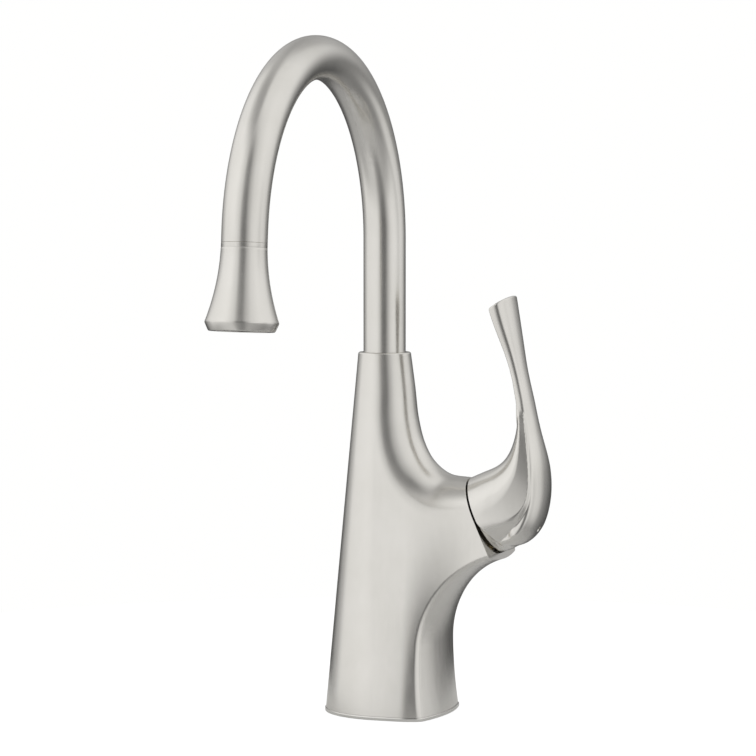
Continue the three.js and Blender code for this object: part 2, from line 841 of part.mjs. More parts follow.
const bellSkin = (along) => tubeRadius + bellFlare * (along / bellFlareLength) ** 2;
const aeratorSeat = bellLength - aeratorRecess - aeratorLength - 2 * fitGap - 1.2;
const aeratorBore = aeratorRadius + fitGap;
const adapterThreadRadius = tubeBore - fitGap - 0.1;
const adapterReach = legLength + 2;
const bellSocketRadius = adapterThreadRadius + fitGap;

function bell() {
  const skin = [];
  const steps = 8;
  const start = bellBandLength + 2 * bellGroove;
  for (let i = 0; i <= steps; i += 1) {
    const along = mix(start, bellFlareLength, i / steps);
    skin.push([bellSkin(along), along]);
  }
  return solid(turned([
    [bellSocketRadius, fitGap],
    [tubeRadius, fitGap],
    [bellSkin(bellBandLength), bellBandLength],
    [bellSkin(bellBandLength) - bellGroove, bellBandLength + bellGroove],
    ...skin,
    [bellSkin(bellFlareLength) - bellChamfer, bellLength],
    [aeratorBore, bellLength],
    [aeratorBore, aeratorSeat],
    [bellThroatRadius, aeratorSeat],
    [bellThroatRadius, bellSocketDepth],
    [bellSocketRadius, bellSocketDepth],
    [bellSocketRadius, fitGap],
  ], 28));
}
addPart('outlet_bell', bell(), brushedNickel(), outletFrame);

const adapterBore = 6.5;
const adapter = solid(ring(adapterBore, adapterThreadRadius, -adapterReach, bellSocketDepth - fitGap));
addPart('outlet_adapter', adapter, brass(), outletFrame);

const sealThickness = 1.2;
const aeratorSealFoot = aeratorSeat + fitGap + sealThickness;
const housingTop = aeratorSealFoot + fitGap;
const housingFoot = housingTop + aeratorLength;
const aeratorInner = aeratorRadius - aeratorWall;
addPart('aerator_seal', solid(ring(bellThroatRadius, aeratorRadius, aeratorSeat + fitGap, aeratorSealFoot)),
  blackRubber(), outletFrame);

const lipLength = 1;
const aeratorLip = aeratorInner - 0.8;
const aeratorHousing = solid(turned([
  [aeratorInner, housingTop],
  [aeratorRadius, housingTop],
  [aeratorRadius, housingFoot],
  [aeratorLip, housingFoot],
  [aeratorLip, housingFoot - lipLength],
  [aeratorInner, housingFoot - lipLength],
  [aeratorInner, housingTop],
], 28));
addPart('aerator_housing', aeratorHousing, darkPlastic(), outletFrame);

// A round plate with rings of holes, six more holes in each ring than in the one inside it.
function holedDisc(radius, low, high, holeRadius, ringSpacing, ringCount) {
  let disc = cut(solid(rod(radius, low, high, 32)), solid(rod(holeRadius, low - 1, high + 1, 6)));
  for (let r = 1; r <= ringCount; r += 1) {
    for (let i = 0; i < 6 * r; i += 1) {
      const turn = (2 * Math.PI * i) / (6 * r);
      const hole = rod(holeRadius, low - 1, high + 1, 6)
        .translate(r * ringSpacing * Math.cos(turn), r * ringSpacing * Math.sin(turn), 0);
      disc = cut(disc, solid(hole));
    }
  }
  return disc;
}

const screenThickness = 1.6;
const screenFoot = housingFoot - lipLength - fitGap;
const insertRadius = aeratorInner - fitGap;
const screen = holedDisc(insertRadius, screenFoot - screenThickness, screenFoot, 1, 3.3, 2);
addPart('aerator_screen', screen, steel(), outletFrame);

const regulatorFoot = screenFoot - screenThickness - fitGap;
const regulatorThickness = 3;
const regulator = holedDisc(insertRadius, regulatorFoot - regulatorThickness, regulatorFoot, 1.4, 6, 1);
addPart('flow_regulator', regulator, whitePlastic(), outletFrame);

// ---------------------------------------------------------------------------------------------
// Cartridge, in the valve frame
// ---------------------------------------------------------------------------------------------

const portPlaces = [[-outletDrillRise, 0], [supplyDrillDrop, -supplyY], [supplyDrillDrop, supplyY]];

function portedDisc(radius, low, high, holeRadius) {
  const holes = portPlaces.map(([x, y]) => solid(rod(holeRadius, low - 1, high + 1, 12).translate(x, y, 0)));
  return cut(solid(rod(radius, low, high, 32)), ...holes);
}

addPart('port_seal', portedDisc(cartridgeRadius, sealFoot, sealTop, supplyDrillRadius + 0.4),
  blackRubber(), valveFrame);
addPart('cartridge_base', portedDisc(cartridgeRadius, baseFoot, baseTop, supplyDrillRadius),
  whitePlastic(), valveFrame);
addPart('fixed_disc', portedDisc(fixedDiscRadius, fixedDiscFoot, fixedDiscTop, 2.2),
  ceramic(), valveFrame);

// The stem's tip swings evenly to both sides of the axis, so at rest the moving disc sits low.
const tipDistance = pivotOffset - (carrierTop - 0.6);
const restOffset = tipDistance * Math.sin(flowSwing / 2);
const pocketRadius = stemTipRadius + 0.5;
const pocketDepth = 2;

const movingDisc = cut(
  solid(rod(discRadius, movingDiscFoot, movingDiscTop, 28)),
  solid(rod(discRadius * 0.45, movingDiscFoot - 1, movingDiscFoot + discThickness / 2, 20)),
).translate([restOffset, 0, 0]);
addPart('moving_disc', movingDisc, ceramic(), valveFrame);

const carrier = cut(
  solid(rod(discRadius, carrierFoot, carrierTop, 28)),
  solid(rod(pocketRadius, carrierTop - pocketDepth, carrierTop + 1, 16)),
).translate([restOffset, 0, 0]);
addPart('disc_carrier', carrier, whitePlastic(), valveFrame);

const housingCavityTop = housingShoulder - 0.4;
const housingCavityRadius = fixedDiscRadius + fitGap + 0.2;
const housingNeckTop = -1.5;
const driverBoreRadius = driverRadius + fitGap;
const cartridgeHousing = solid(turned([
  [housingCavityRadius, fixedDiscFoot],
  [cartridgeRadius, fixedDiscFoot],
  [cartridgeRadius, housingShoulder],
  [cartridgeNeckRadius, housingShoulder],
  [cartridgeNeckRadius, housingNeckTop],
  [driverBoreRadius, housingNeckTop],
  [driverBoreRadius, housingCavityTop],
  [housingCavityRadius, housingCavityTop],
  [housingCavityRadius, fixedDiscFoot],
], 28));
addPart('cartridge_housing', cartridgeHousing, darkPlastic(), valveFrame);

// Driver: turns in the housing, carries the pivot pin between two ears.
const driverFlangeThickness = 1.1;
const driverFlangeTop = housingCavityTop - fitGap;
const earTop = pivotOffset + 3.5;
const slotHalfWidth = stemHalfThickness + 0.4;
const slotHalfLength = 6.8;
const earFoot = 2;

function driver() {
  const turnedBody = solid(turned([
    [0, driverFlangeTop - driverFlangeThickness],
    [housingCavityRadius - fitGap, driverFlangeTop - driverFlangeThickness],
    [housingCavityRadius - fitGap, driverFlangeTop],
    [driverRadius, driverFlangeTop],
    [driverRadius, earTop],
    [0, earTop],
  ], 28));
  const slot = block(
    [-slotHalfLength, -slotHalfWidth, driverFlangeTop - driverFlangeThickness - 1],
    [slotHalfLength, slotHalfWidth, earTop + 1],
  );
  const shave = (side) => block(
    [side > 0 ? 4 : -driverRadius - 1, -driverRadius - 1, earFoot],
    [side > 0 ? driverRadius + 1 : -4, driverRadius + 1, earTop + 1],
  );
  const pinHole = rod(pinRadius + fitGap, -driverRadius - 1, driverRadius + 1, 16)
    .rotateX(Math.PI / 2)
    .translate(0, 0, pivotOffset);
  return cut(turnedBody, solid(slot), solid(shave(1)), solid(shave(-1)), solid(pinHole));
}
addPart('stem_driver', driver(), brass(), valveFrame);

const pinHalfLength = driverRadius - 0.8;
const pin = rod(pinRadius, -pinHalfLength, pinHalfLength, 16)
  .rotateX(Math.PI / 2)
  .translate(0, 0, pivotOffset);
addPart('pivot_pin', solid(pin), steel(), valveFrame);

// Lever stem: a round eye on the pin, a square shank out into the handle and a leg in to the carrier.
function leverStem() {
  const eye = rod(stemHalfWidth + 0.5, -stemHalfThickness, stemHalfThickness, 24).rotateX(Math.PI / 2);
  const shank = block([-stemHalfWidth, -stemHalfThickness, 0], [stemHalfWidth, stemHalfThickness, 9]);
  const square = block(
    [-stemHalfWidth, -stemHalfWidth, earTop + 2 - pivotOffset],
    [stemHalfWidth, stemHalfWidth, stemReach - pivotOffset],
  );
  const legHalf = 2;
  const leg = block([-legHalf, -stemHalfThickness + 0.4, -tipDistance + 1], [legHalf, stemHalfThickness - 0.4, 0])
    .rotateY(-flowSwing / 2);
  const tip = new THREE.SphereGeometry(stemTipRadius, 16, 10)
    .translate(0, 0, -tipDistance + 1.5)
    .rotateY(-flowSwing / 2);
  const body = union(solid(eye), solid(shank), solid(square), solid(leg), solid(tip));
  const hole = rod(pinRadius + fitGap, -10, 10, 16).rotateX(Math.PI / 2);
  return cut(body, solid(hole)).translate([0, 0, pivotOffset]);
}
addPart('lever_stem', leverStem(), steel(), valveFrame);

// Retaining nut: screws into the cup and clamps the shell's inner shoulder on it.
const nutFlangeFoot = -mouthDepth + fitGap;
const nutFlangeTop = nutFlangeFoot + nutFlangeThickness;
const nutCollarTop = nutFlangeTop + nutCollarLength;
const nutBore = cartridgeNeckRadius + fitGap;
const retainingNut = solid(turned([
  [nutBore, nutInnerEnd],
  [cartridgeRadius + fitGap - 0.3, nutInnerEnd],
  [cartridgeRadius + fitGap - 0.3, nutFlangeFoot],
  [nutFlangeRadius, nutFlangeFoot],
  [nutFlangeRadius, nutFlangeTop],
  [nutCollarRadius, nutFlangeTop],
  [nutCollarRadius, nutCollarTop],
  [nutBore, nutCollarTop],
  [nutBore, nutInnerEnd],
], 28));
addPart('retaining_nut', retainingNut, brass(), valveFrame);

// Bonnet: a neck on the nut's collar and a ball-shaped cap that the handle's skirt slides round.
function bonnet() {
  const inner = bonnetRadius - bonnetWall;
  const neckFoot = nutFlangeTop + fitGap;
  const neckInner = nutCollarRadius + fitGap;
  const neckOuter = neckInner + bonnetNeckWall;
  const arc = (radius, from, to, steps) => Array.from({ length: steps + 1 }, (_, i) => {
    const turn = mix(from, to, i / steps);
    return [radius * Math.sin(turn), pivotOffset + radius * Math.cos(turn)];
  });
  const outerEnd = Math.PI - Math.asin(neckOuter / bonnetRadius);
  const innerEnd = Math.PI - Math.asin(neckInner / inner);
  return solid(turned([
    ...arc(bonnetRadius, bonnetOpening, outerEnd, 7),
    [neckOuter, neckFoot],
    [neckInner, neckFoot],
    ...arc(inner, innerEnd, bonnetOpening, 6),
    [bonnetRadius * Math.sin(bonnetOpening), pivotOffset + bonnetRadius * Math.cos(bonnetOpening)],
  ], 28));
}
addPart('bonnet', bonnet(), darkPlastic(), valveFrame);

// ---------------------------------------------------------------------------------------------
// Lever handle
// ---------------------------------------------------------------------------------------------

// The handle's outlines are [out, up] distances from the mouth's centre. They and the handle's
// widths and thicknesses are in hundredths of the lever's rise.
const leverUnit = leverRise / 100;
const outline = (points) => new THREE.CatmullRomCurve3(
  points.map(([out, up]) => fromMouth(out * leverUnit, up * leverUnit)),
  false,
  'centripetal',
);

// Back of the leaf, from under the dome up to the lever's tip.
const leafBack = outline([
  [5, -19],
  [14.5, -20.5],
  [23.6, -16.7],
  [33.4, -5.6],
  [40.4, 10],
  [44.7, 30.8],
  [47.8, 46.4],
  [50.9, 62],
  [54.7, 77.1],
  [60.5, 100],
]);

// A value along the leaf or the dome, eased between [share of length, value] stops.
function along(stops, share) {
  const next = Math.max(1, stops.findIndex(([stop]) => stop >= share));
  const [from, low] = stops[next - 1];
  const [to, high] = stops[next];
  return mix(low, high, smooth((share - from) / (to - from)));
}

const leafHalfWidths = [[0, 14.5], [0.1, 17], [0.3, 15.8], [0.56, 9.4], [0.7, 8.6], [1, 14]];
const leafCrowns = [[0, 3.4], [0.1, 4.6], [0.3, 4.4], [0.55, 3.6], [0.63, 3], [0.7, 3], [1, 6.2]];
const leafEdges = [[0, 3.5], [0.3, 3.8], [0.55, 4.4], [0.63, 3.3], [0.7, 3], [1, 4.6]];
const leafTipSlant = 25 * degrees;
const crownRoundness = 0.96; // share of a half ellipse that the leaf's back takes up across its width

// Depth of the leaf's back below its middle line, as a share of its depth at the edges.
function crownRise(across) {
  const below = (share) => 1 - Math.sqrt(1 - (crownRoundness * share) ** 2);
  return below(across) / below(1);
}

function leaf(stations) {
  const rings = [];
  for (let j = 0; j <= stations; j += 1) {
    const share = j / stations;
    const centre = leafBack.getPointAt(share);
    const tangent = leafBack.getTangentAt(share);
    const inward = new THREE.Vector3(-tangent.z, 0, tangent.x);
    const halfWidth = leverUnit * along(leafHalfWidths, share);
    const crown = leverUnit * along(leafCrowns, share);
    const edge = leverUnit * along(leafEdges, share);
    const slant = Math.tan(leafTipSlant) * smooth((share - 0.9) / 0.1);
    const place = (y, depth) => centre.clone()
      .addScaledVector(inward, depth)
      .addScaledVector(tangent, -depth * slant)
      .setY(y);
    const section = [];
    const crownSteps = 10;
    for (let i = 0; i <= crownSteps; i += 1) {
      const y = Math.sin((Math.PI / 2) * mix(-1, 1, i / crownSteps));
      section.push(place(y * halfWidth, crown * crownRise(y)));
    }
    section.push(place(halfWidth, crown + edge));
    section.push(place(halfWidth * 0.5, crown * 0.75 + edge));
    section.push(place(-halfWidth * 0.5, crown * 0.75 + edge));
    section.push(place(-halfWidth, crown + edge));
    rings.push(section);
  }
  return solid(loft(rings));
}

// Top of the dome and inner side of the lever's root.
const domeTop = outline([
  [1.2, 22],
  [7.6, 22],
  [15.8, 22],
  [21.2, 23.2],
  [26, 25.8],
  [31.2, 30.5],
  [36.7, 38],
  [41, 48],
]);

// Far side of the dome, under the leaf.
const domeFoot = outline([
  [1.2, -19.5],
  [8, -18.5],
  [18, -15.5],
  [26, -8.5],
  [32.5, 0.5],
  [36.5, 11],
  [40, 25],
  [43.5, 41],
]);

const domeMouthHalfWidth = 21.5;
const domeTipHalfWidth = 8.2;
const domeTaperPower = 1.6;
const domeTopRounding = 1.3; // as a share of the half width
const domeFootRoundings = [[0, 0.8], [0.5, 0.25], [1, 0.2]];

function dome(stations, across) {
  const rings = [];
  for (let j = 0; j <= stations; j += 1) {
    const share = j / stations;
    const top = domeTop.getPointAt(share);
    const foot = domeFoot.getPointAt(share);
    const length = top.distanceTo(foot);
    const direction = foot.clone().sub(top).normalize();
    const halfWidth = leverUnit * mix(domeMouthHalfWidth, domeTipHalfWidth, share ** domeTaperPower);
    const topRound = Math.min(halfWidth * domeTopRounding, length * 0.5);
    const footRound = Math.min(halfWidth * along(domeFootRoundings, share), length * 0.5);
    const side = [];
    for (let i = 0; i <= across; i += 1) {
      const distance = (length * (1 - Math.cos((Math.PI * i) / across))) / 2;
      const half = halfWidth * quarterRound(distance, topRound) * quarterRound(length - distance, footRound);
      side.push(top.clone().addScaledVector(direction, distance).setY(half));
    }
    const mirrored = side.slice(1, -1).reverse().map((point) => point.clone().setY(-point.y));
    rings.push([...side, ...mirrored]);
  }
  return solid(loft(rings));
}

// Under the dome the cheeks stop on a slanted plane, so that the skirt can tuck into the mouth.
function cheekTrim() {
  const tool = block([0, -40, -60], [60, 40, 0]);
  return inValveFrame(tool.rotateY(-cheekEndTilt).translate(-cheekEndUp, 0, skirtGap));
}

function leverHandle() {
  const ball = new THREE.SphereGeometry(skirtRadius, 32, 18).rotateX(Math.PI / 2).translate(0, 0, pivotOffset);
  const behindSkirt = block([-60, -60, -60], [60, 60, skirtGap]);
  const hollow = new THREE.SphereGeometry(cavityRadius, 24, 14).rotateX(Math.PI / 2)
    .translate(0, 0, pivotOffset);
  const boss = rod(bossRadius, pivotOffset + cavityRadius - bossDepth, pivotOffset + cavityRadius, 24);
  const socketHalf = stemHalfWidth + fitGap;
  const socket = block([-socketHalf, -socketHalf, 0], [socketHalf, socketHalf, stemReach + fitGap]);
  const screwHole = rod(setScrewRadius + fitGap, 0, 30, 16)
    .rotateY(Math.PI / 2)
    .translate(0, 0, setScrewOffset);
  const outer = union(cut(dome(16, 14), cheekTrim()), leaf(26), inValveFrame(ball));
  return cut(
    outer,
    inValveFrame(behindSkirt),
    cut(inValveFrame(hollow), inValveFrame(boss)),
    inValveFrame(socket),
    inValveFrame(screwHole),
  );
}
addPart('lever_handle', leverHandle(), brushedNickel());

const setScrewStart = stemHalfWidth + fitGap + 0.1;
const setScrew = cut(
  solid(rod(setScrewRadius, 0, setScrewLength, 16)),
  solid(rod(setScrewRadius * 0.55, setScrewLength - 2, setScrewLength + 1, 6)),
);
addPart('handle_set_screw', setScrew, steel(), new THREE.Matrix4()
  .multiplyMatrices(valveFrame, new THREE.Matrix4().makeRotationY(Math.PI / 2)
    .setPosition(setScrewStart, 0, setScrewOffset)));

export default faucet;
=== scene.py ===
"""Gooseneck bar faucet: fine surfaces, materials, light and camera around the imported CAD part."""
import json
import math

import bpy
import numpy as np
from mathutils import Matrix, Vector

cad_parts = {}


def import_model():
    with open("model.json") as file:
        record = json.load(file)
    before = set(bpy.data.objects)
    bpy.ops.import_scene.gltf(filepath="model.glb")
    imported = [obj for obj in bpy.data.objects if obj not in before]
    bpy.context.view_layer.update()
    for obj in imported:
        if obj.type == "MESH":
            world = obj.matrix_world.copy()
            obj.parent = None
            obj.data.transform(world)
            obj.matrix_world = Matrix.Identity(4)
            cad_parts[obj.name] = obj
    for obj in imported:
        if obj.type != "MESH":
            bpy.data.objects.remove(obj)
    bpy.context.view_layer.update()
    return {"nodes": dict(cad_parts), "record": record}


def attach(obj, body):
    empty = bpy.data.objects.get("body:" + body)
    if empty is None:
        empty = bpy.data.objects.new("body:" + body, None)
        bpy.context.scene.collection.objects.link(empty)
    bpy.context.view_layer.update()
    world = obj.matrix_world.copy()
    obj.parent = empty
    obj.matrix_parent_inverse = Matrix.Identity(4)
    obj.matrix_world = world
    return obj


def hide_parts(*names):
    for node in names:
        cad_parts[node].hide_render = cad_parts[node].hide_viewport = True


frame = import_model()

MM = 0.001

# --- Sizes in millimetres ---------------------------------------
# They are the solids' own, but the edges that show differ a little: the trim ring's and the
# bell's seams, the dome's tip and foot, and the leaf's fillet.

FIT_GAP = 0.3

TUBE_RADIUS = 11.1
TUBE_WALL = 1.2
TUBE_FOOT = 152.0
ARCH_RADIUS = 92.75
ARCH_CENTRE = 249.2
ARCH_SWEEP = math.radians(175)
LEG_LENGTH = 5.0

TOWER_HEIGHT = 190.0
COLLAR_RADIUS = 13.8
COLLAR_ROUNDING = 0.8
COLLAR_LIP_HEIGHT = 14.0
GLIDE_RING_RADIUS = 12.7
FOOT_BACK_RADIUS = 31.3
FOOT_HALF_DEPTH = 33.0
FOOT_CENTRE_SHIFT = 5.0
SHELL_WALL = 3.0
TRIM_HEIGHT = 1.7
TRIM_PROUD = 0.35
SEAM_GAP = 0.06
SPOUT_FLANGE = 2.2
THRUST_RING = 1.4
COLUMN_TOP = TUBE_FOOT - FIT_GAP - SPOUT_FLANGE - FIT_GAP - THRUST_RING - FIT_GAP
COLUMN_HEADROOM = 0.5

MOUTH = np.array([57.2, 105.1])
MOUTH_RISE = math.radians(24)
MOUTH_HALF_WIDTH = 21.5
MOUTH_TOP = 22.1
MOUTH_DEPTH = 9.0
MOUTH_WALL = 1.4
MOUTH_FOOT_RISE = 2.5
MOUTH_FOOT_BOW = 1.5
POCKET_ROUND_RADIUS = 21.2
ARM_CAVITY_DEPTH = 45.0
ARM_BORE_RADIUS = 18.6
SHOULDER_BORE_RADIUS = 16.9
SHOULDER_THICKNESS = 2.5
ARM_BLEND_START = 20.0
SIDE_ROUND_RADIUS = 75.0
SIDE_ROUND_TOP = 90.0
SIDE_ROUND_LIMIT = 0.1

COVE_RADIUS = 51.2
COVE_X = 80.5
COVE_HEIGHT = 38.0
COVE_FLARE = 3.0
COVE_BOW = 3.6
COVE_BOW_HALF_DEPTH = 26.0
COVE_EDGE = 2.0

SKIRT_GAP = 1.2
SKIRT_RADIUS = 20.5
CAVITY_RADIUS = 18.3
BOSS_RADIUS = 7.0
BOSS_DEPTH = 10.0
PIVOT_OFFSET = 6.0
STEM_HALF = 3.5
STEM_REACH = 31.0
SET_SCREW_RADIUS = 1.2
SET_SCREW_OFFSET = 24.0

BONNET_RADIUS = 17.7
BONNET_WALL = 1.8
BONNET_NECK_RADIUS = 13.0
BONNET_NECK_WALL = 1.2
BONNET_OPENING = math.radians(50)
NUT_FLANGE = 2.1

BELL_LENGTH = 42.2
BELL_FLARE_LENGTH = 38.0
BELL_FLARE = 6.7
BELL_CHAMFER = 1.9
BELL_BAND = 2.4
BELL_GROOVE = 0.12
BELL_SOCKET_DEPTH = 12.0
BELL_THROAT_RADIUS = 9.0
THREAD_PLAY = 0.1
AERATOR_RADIUS = 12.7
AERATOR_LENGTH = 10.6
AERATOR_RECESS = 0.6
AERATOR_SEAL = 1.2

OUT = np.array([math.cos(MOUTH_RISE), math.sin(MOUTH_RISE)])
UP = np.array([-math.sin(MOUTH_RISE), math.cos(MOUTH_RISE)])


def mix(low, high, share):
    return low + (high - low) * share


def smooth(share):
    s = np.clip(share, 0.0, 1.0)
    return s * s * (3.0 - 2.0 * s)


def unit(vectors):
    return vectors / np.maximum(np.linalg.norm(vectors, axis=1), 1e-9)[:, None]


def cross(a, b):
    """Positive where b turns anticlockwise from a, both in a plane."""
    return a[..., 0] * b[..., 1] - a[..., 1] * b[..., 0]


def halve(low, high, before, rounds):
    """The places between low and high where before() stops being true."""
    for _ in range(rounds):
        middle = (low + high) / 2
        early = before(middle)
        low, high = np.where(early, middle, low), np.where(early, high, middle)
    return low


def from_mouth(out, up):
    """X and Z of a point given by its distances out along and up across the mouth's axis."""
    return MOUTH + out * OUT + up * UP


def to_mouth(x, z):
    """Distances out along and up across the mouth's axis of a point."""
    x, z = x - MOUTH[0], z - MOUTH[1]
    return x * OUT[0] + z * OUT[1], x * UP[0] + z * UP[1]


# --- Curves and smooth tables in the XZ plane ------------------


class Line:
    """A centripetal Catmull-Rom curve through points, read by its share of length."""

    def __init__(self, points, steps=60):
        p = np.array(points, float)
        p = np.vstack([2 * p[0] - p[1], p, 2 * p[-1] - p[-2]])
        t = np.linspace(0, 1, steps, endpoint=False)[:, None]
        pieces = []
        for a, b, c, d in zip(p, p[1:], p[2:], p[3:]):
            ab, bc, cd = (np.linalg.norm(v) ** 0.5 for v in (b - a, c - b, d - c))
            start = ((b - a) / ab - (c - a) / (ab + bc) + (c - b) / bc) * bc
            end = ((c - b) / bc - (d - b) / (bc + cd) + (d - c) / cd) * bc
            square = -3 * b + 3 * c - 2 * start - end
            cube = 2 * b - 2 * c + start + end
            pieces.append(b + t * start + t * t * square + t ** 3 * cube)
        self.points = np.vstack([*pieces, p[-2:-1]])
        lengths = np.linalg.norm(np.diff(self.points, axis=0), axis=1)
        self.reach = np.concatenate([[0.0], np.cumsum(lengths)])
        self.length = self.reach[-1]

    def at(self, share):
        distance = np.clip(share, 0, 1) * self.length
        return np.stack([np.interp(distance, self.reach, axis) for axis in self.points.T], -1)


class Table:
    """A function of X and Z kept on a square grid, and read back with its slopes."""

    def __init__(self, function, low, high, step=0.25):
        self.low = np.array(low, float)
        self.step = step
        xs = np.arange(low[0], high[0] + step, step)
        zs = np.arange(low[1], high[1] + step, step)
        self.values = function(*np.meshgrid(xs, zs, indexing="ij"))

    @staticmethod
    def weights(t):
        value = (t * (-0.5 + t - 0.5 * t * t), 1 + t * t * (1.5 * t - 2.5),
                 t * (0.5 + 2 * t - 1.5 * t * t), t * t * (0.5 * t - 0.5))
        slope = (-0.5 + 2 * t - 1.5 * t * t, t * (4.5 * t - 5),
                 0.5 + 4 * t - 4.5 * t * t, t * (1.5 * t - 1))
        return value, slope

    def read(self, x, z):
        """Value, slope along X and slope along Z."""
        fx, fz = (x - self.low[0]) / self.step, (z - self.low[1]) / self.step
        i = np.clip(np.floor(fx).astype(int), 1, self.values.shape[0] - 3)
        k = np.clip(np.floor(fz).astype(int), 1, self.values.shape[1] - 3)
        wx, sx = self.weights(fx - i)
        wz, sz = self.weights(fz - k)
        value = along_x = along_z = 0.0
        for a in range(4):
            for b in range(4):
                v = self.values[i + a - 1, k + b - 1]
                value = value + v * wx[a] * wz[b]
                along_x = along_x + v * sx[a] * wz[b]
                along_z = along_z + v * wx[a] * sz[b]
        return value, along_x / self.step, along_z / self.step


def bulge(distance, radius):
    """Square of a quarter round's height at a distance from its edge, below zero outside it."""
    rest = 1 - np.minimum(distance / radius, 1)
    return 1 - rest * rest


def depth_field(y, square, along_x, along_z):
    """Distance to the skin of a form whose half depth squared is known over the XZ plane."""
    return (y * y - square) / np.sqrt(4 * y * y + along_x ** 2 + along_z ** 2 + 1)


def round_both(a, b, radius):
    """What lies in both forms, with the edge between them rounded."""
    away = np.hypot(np.maximum(radius + a, 0), np.maximum(radius + b, 0))
    return np.minimum(-radius, np.maximum(a, b)) + away


def round_either(a, b, radius):
    """What lies in either form, with the corner between them filled."""
    away = np.hypot(np.maximum(radius - a, 0), np.maximum(radius - b, 0))
    return np.maximum(radius, np.minimum(a, b)) - away


# --- Body: tower, arm and the cove under the arm ---------------


def tower_share(z):
    return (TOWER_HEIGHT - z) / TOWER_HEIGHT


def back_radius(z):
    return mix(COLLAR_RADIUS, FOOT_BACK_RADIUS, tower_share(z))


def tower_half_depth(z):
    return mix(COLLAR_RADIUS, FOOT_HALF_DEPTH, tower_share(z))


def full_half_depth(x, z):
    """Half depth of the tower and the arm before their front and back are rounded off."""
    centre = FOOT_CENTRE_SHIFT * tower_share(z)
    flatness = np.maximum(0, 1 - (np.maximum(0, z) / SIDE_ROUND_TOP) ** 3)
    reach = np.maximum(0, x - centre) / SIDE_ROUND_RADIUS * flatness
    tower = tower_half_depth(z) * np.sqrt(np.maximum(SIDE_ROUND_LIMIT, 1 - reach * reach))
    share = smooth((x - ARM_BLEND_START) / (MOUTH[0] - ARM_BLEND_START))
    return mix(tower, MOUTH_HALF_WIDTH, share)


# Points of the arm's upper outline, as shares of the way from the collar to the mouth.
SHOULDER_SHARES = [
    (0, 0), (0.07, 0.278), (0.128, 0.541), (0.224, 0.733), (0.375, 0.873), (0.634, 0.974), (1, 1),
]
COLLAR_EDGE = np.array([COLLAR_RADIUS, TOWER_HEIGHT])
MOUTH_EDGE = from_mouth(0, MOUTH_TOP)
shoulder = Line([COLLAR_EDGE + np.array(s) * (MOUTH_EDGE - COLLAR_EDGE) for s in SHOULDER_SHARES])
# The body's sections fan out from the shoulder: level at the collar, across the arm at its mouth.
FAN_BEND = 2.8
FAN_SPARE = 12.0
FAN_ROUNDS = 32
CUT_SPARE = 2.0
BODY_LOW, BODY_HIGH = (-40, -6), (74, 194)


def fan_line(share):
    """Near end and direction of a section of the body. Past its ends the fan goes on straight."""
    near = shoulder.at(share)
    near[..., 1] += FAN_SPARE * np.maximum(0, -share)
    near += FAN_SPARE * np.maximum(0, share - 1)[..., None] * OUT
    turn = math.pi + (math.pi / 2 + MOUTH_RISE) * np.clip(share, 0, 1) ** FAN_BEND
    return near, np.stack([np.cos(turn), np.sin(turn)], -1)


def body_square(x, z):
    """Half depth of the body squared, below zero outside its outline."""
    point = np.stack([x, z], -1)

    def before(share):
        near, direction = fan_line(share)
        return cross(direction, point - near) > 0

    share = halve(np.full(x.shape, -1.0), np.full(x.shape, 2.0), before, FAN_ROUNDS)
    near, direction = fan_line(share)
    distance = ((point - near) * direction).sum(-1)
    front = bulge(distance, full_half_depth(near[..., 0], near[..., 1]))
    centre = FOOT_CENTRE_SHIFT * tower_share(z)
    back = 1 - (np.maximum(0, centre - x) / (centre + back_radius(z))) ** 2
    sign = np.where((front < 0) | (back < 0), -1.0, 1.0)
    return sign * np.abs(front * back) * full_half_depth(x, z) ** 2


body_table = Table(body_square, BODY_LOW, BODY_HIGH)


def cove_field(x, y, z):
    """Distance into the space under the arm."""
    bow = COVE_BOW * (1 - (y / COVE_BOW_HALF_DEPTH) ** 2)
    lean = np.sqrt(1 + (2 * COVE_BOW * y / COVE_BOW_HALF_DEPTH ** 2) ** 2)
    arch = COVE_RADIUS - bow - np.hypot(x - COVE_X, z - COVE_HEIGHT)
    drop = (COVE_HEIGHT - z) / COVE_HEIGHT
    wall = x - (COVE_X - COVE_RADIUS) - bow - COVE_FLARE * drop * drop
    return np.where(z > COVE_HEIGHT, arch, wall) / lean


def body_field(x, y, z, reading=None):
    """Distance to the body's skin, below zero inside it."""
    square, along_x, along_z = reading or body_table.read(x, z)
    form = round_both(depth_field(y, square, along_x, along_z), cove_field(x, y, z), COVE_EDGE)
    form = round_both(form, z - TOWER_HEIGHT, COLLAR_ROUNDING)
    past_mouth = to_mouth(x, z)[0] - CUT_SPARE
    return np.maximum(form, np.maximum(past_mouth, -CUT_SPARE / 2 - z))


# --- Handle: skirt ball, dome and leaf -------------------------


def along(stops, share):
    """A value eased between (share, value) stops."""
    places, values = np.array(stops, float).T
    i = np.clip(np.searchsorted(places, share, side="left") - 1, 0, len(places) - 2)
    part = smooth((share - places[i]) / (places[i + 1] - places[i]))
    return mix(values[i], values[i + 1], part)


def outline(points):
    return Line([from_mouth(out, up) for out, up in points])


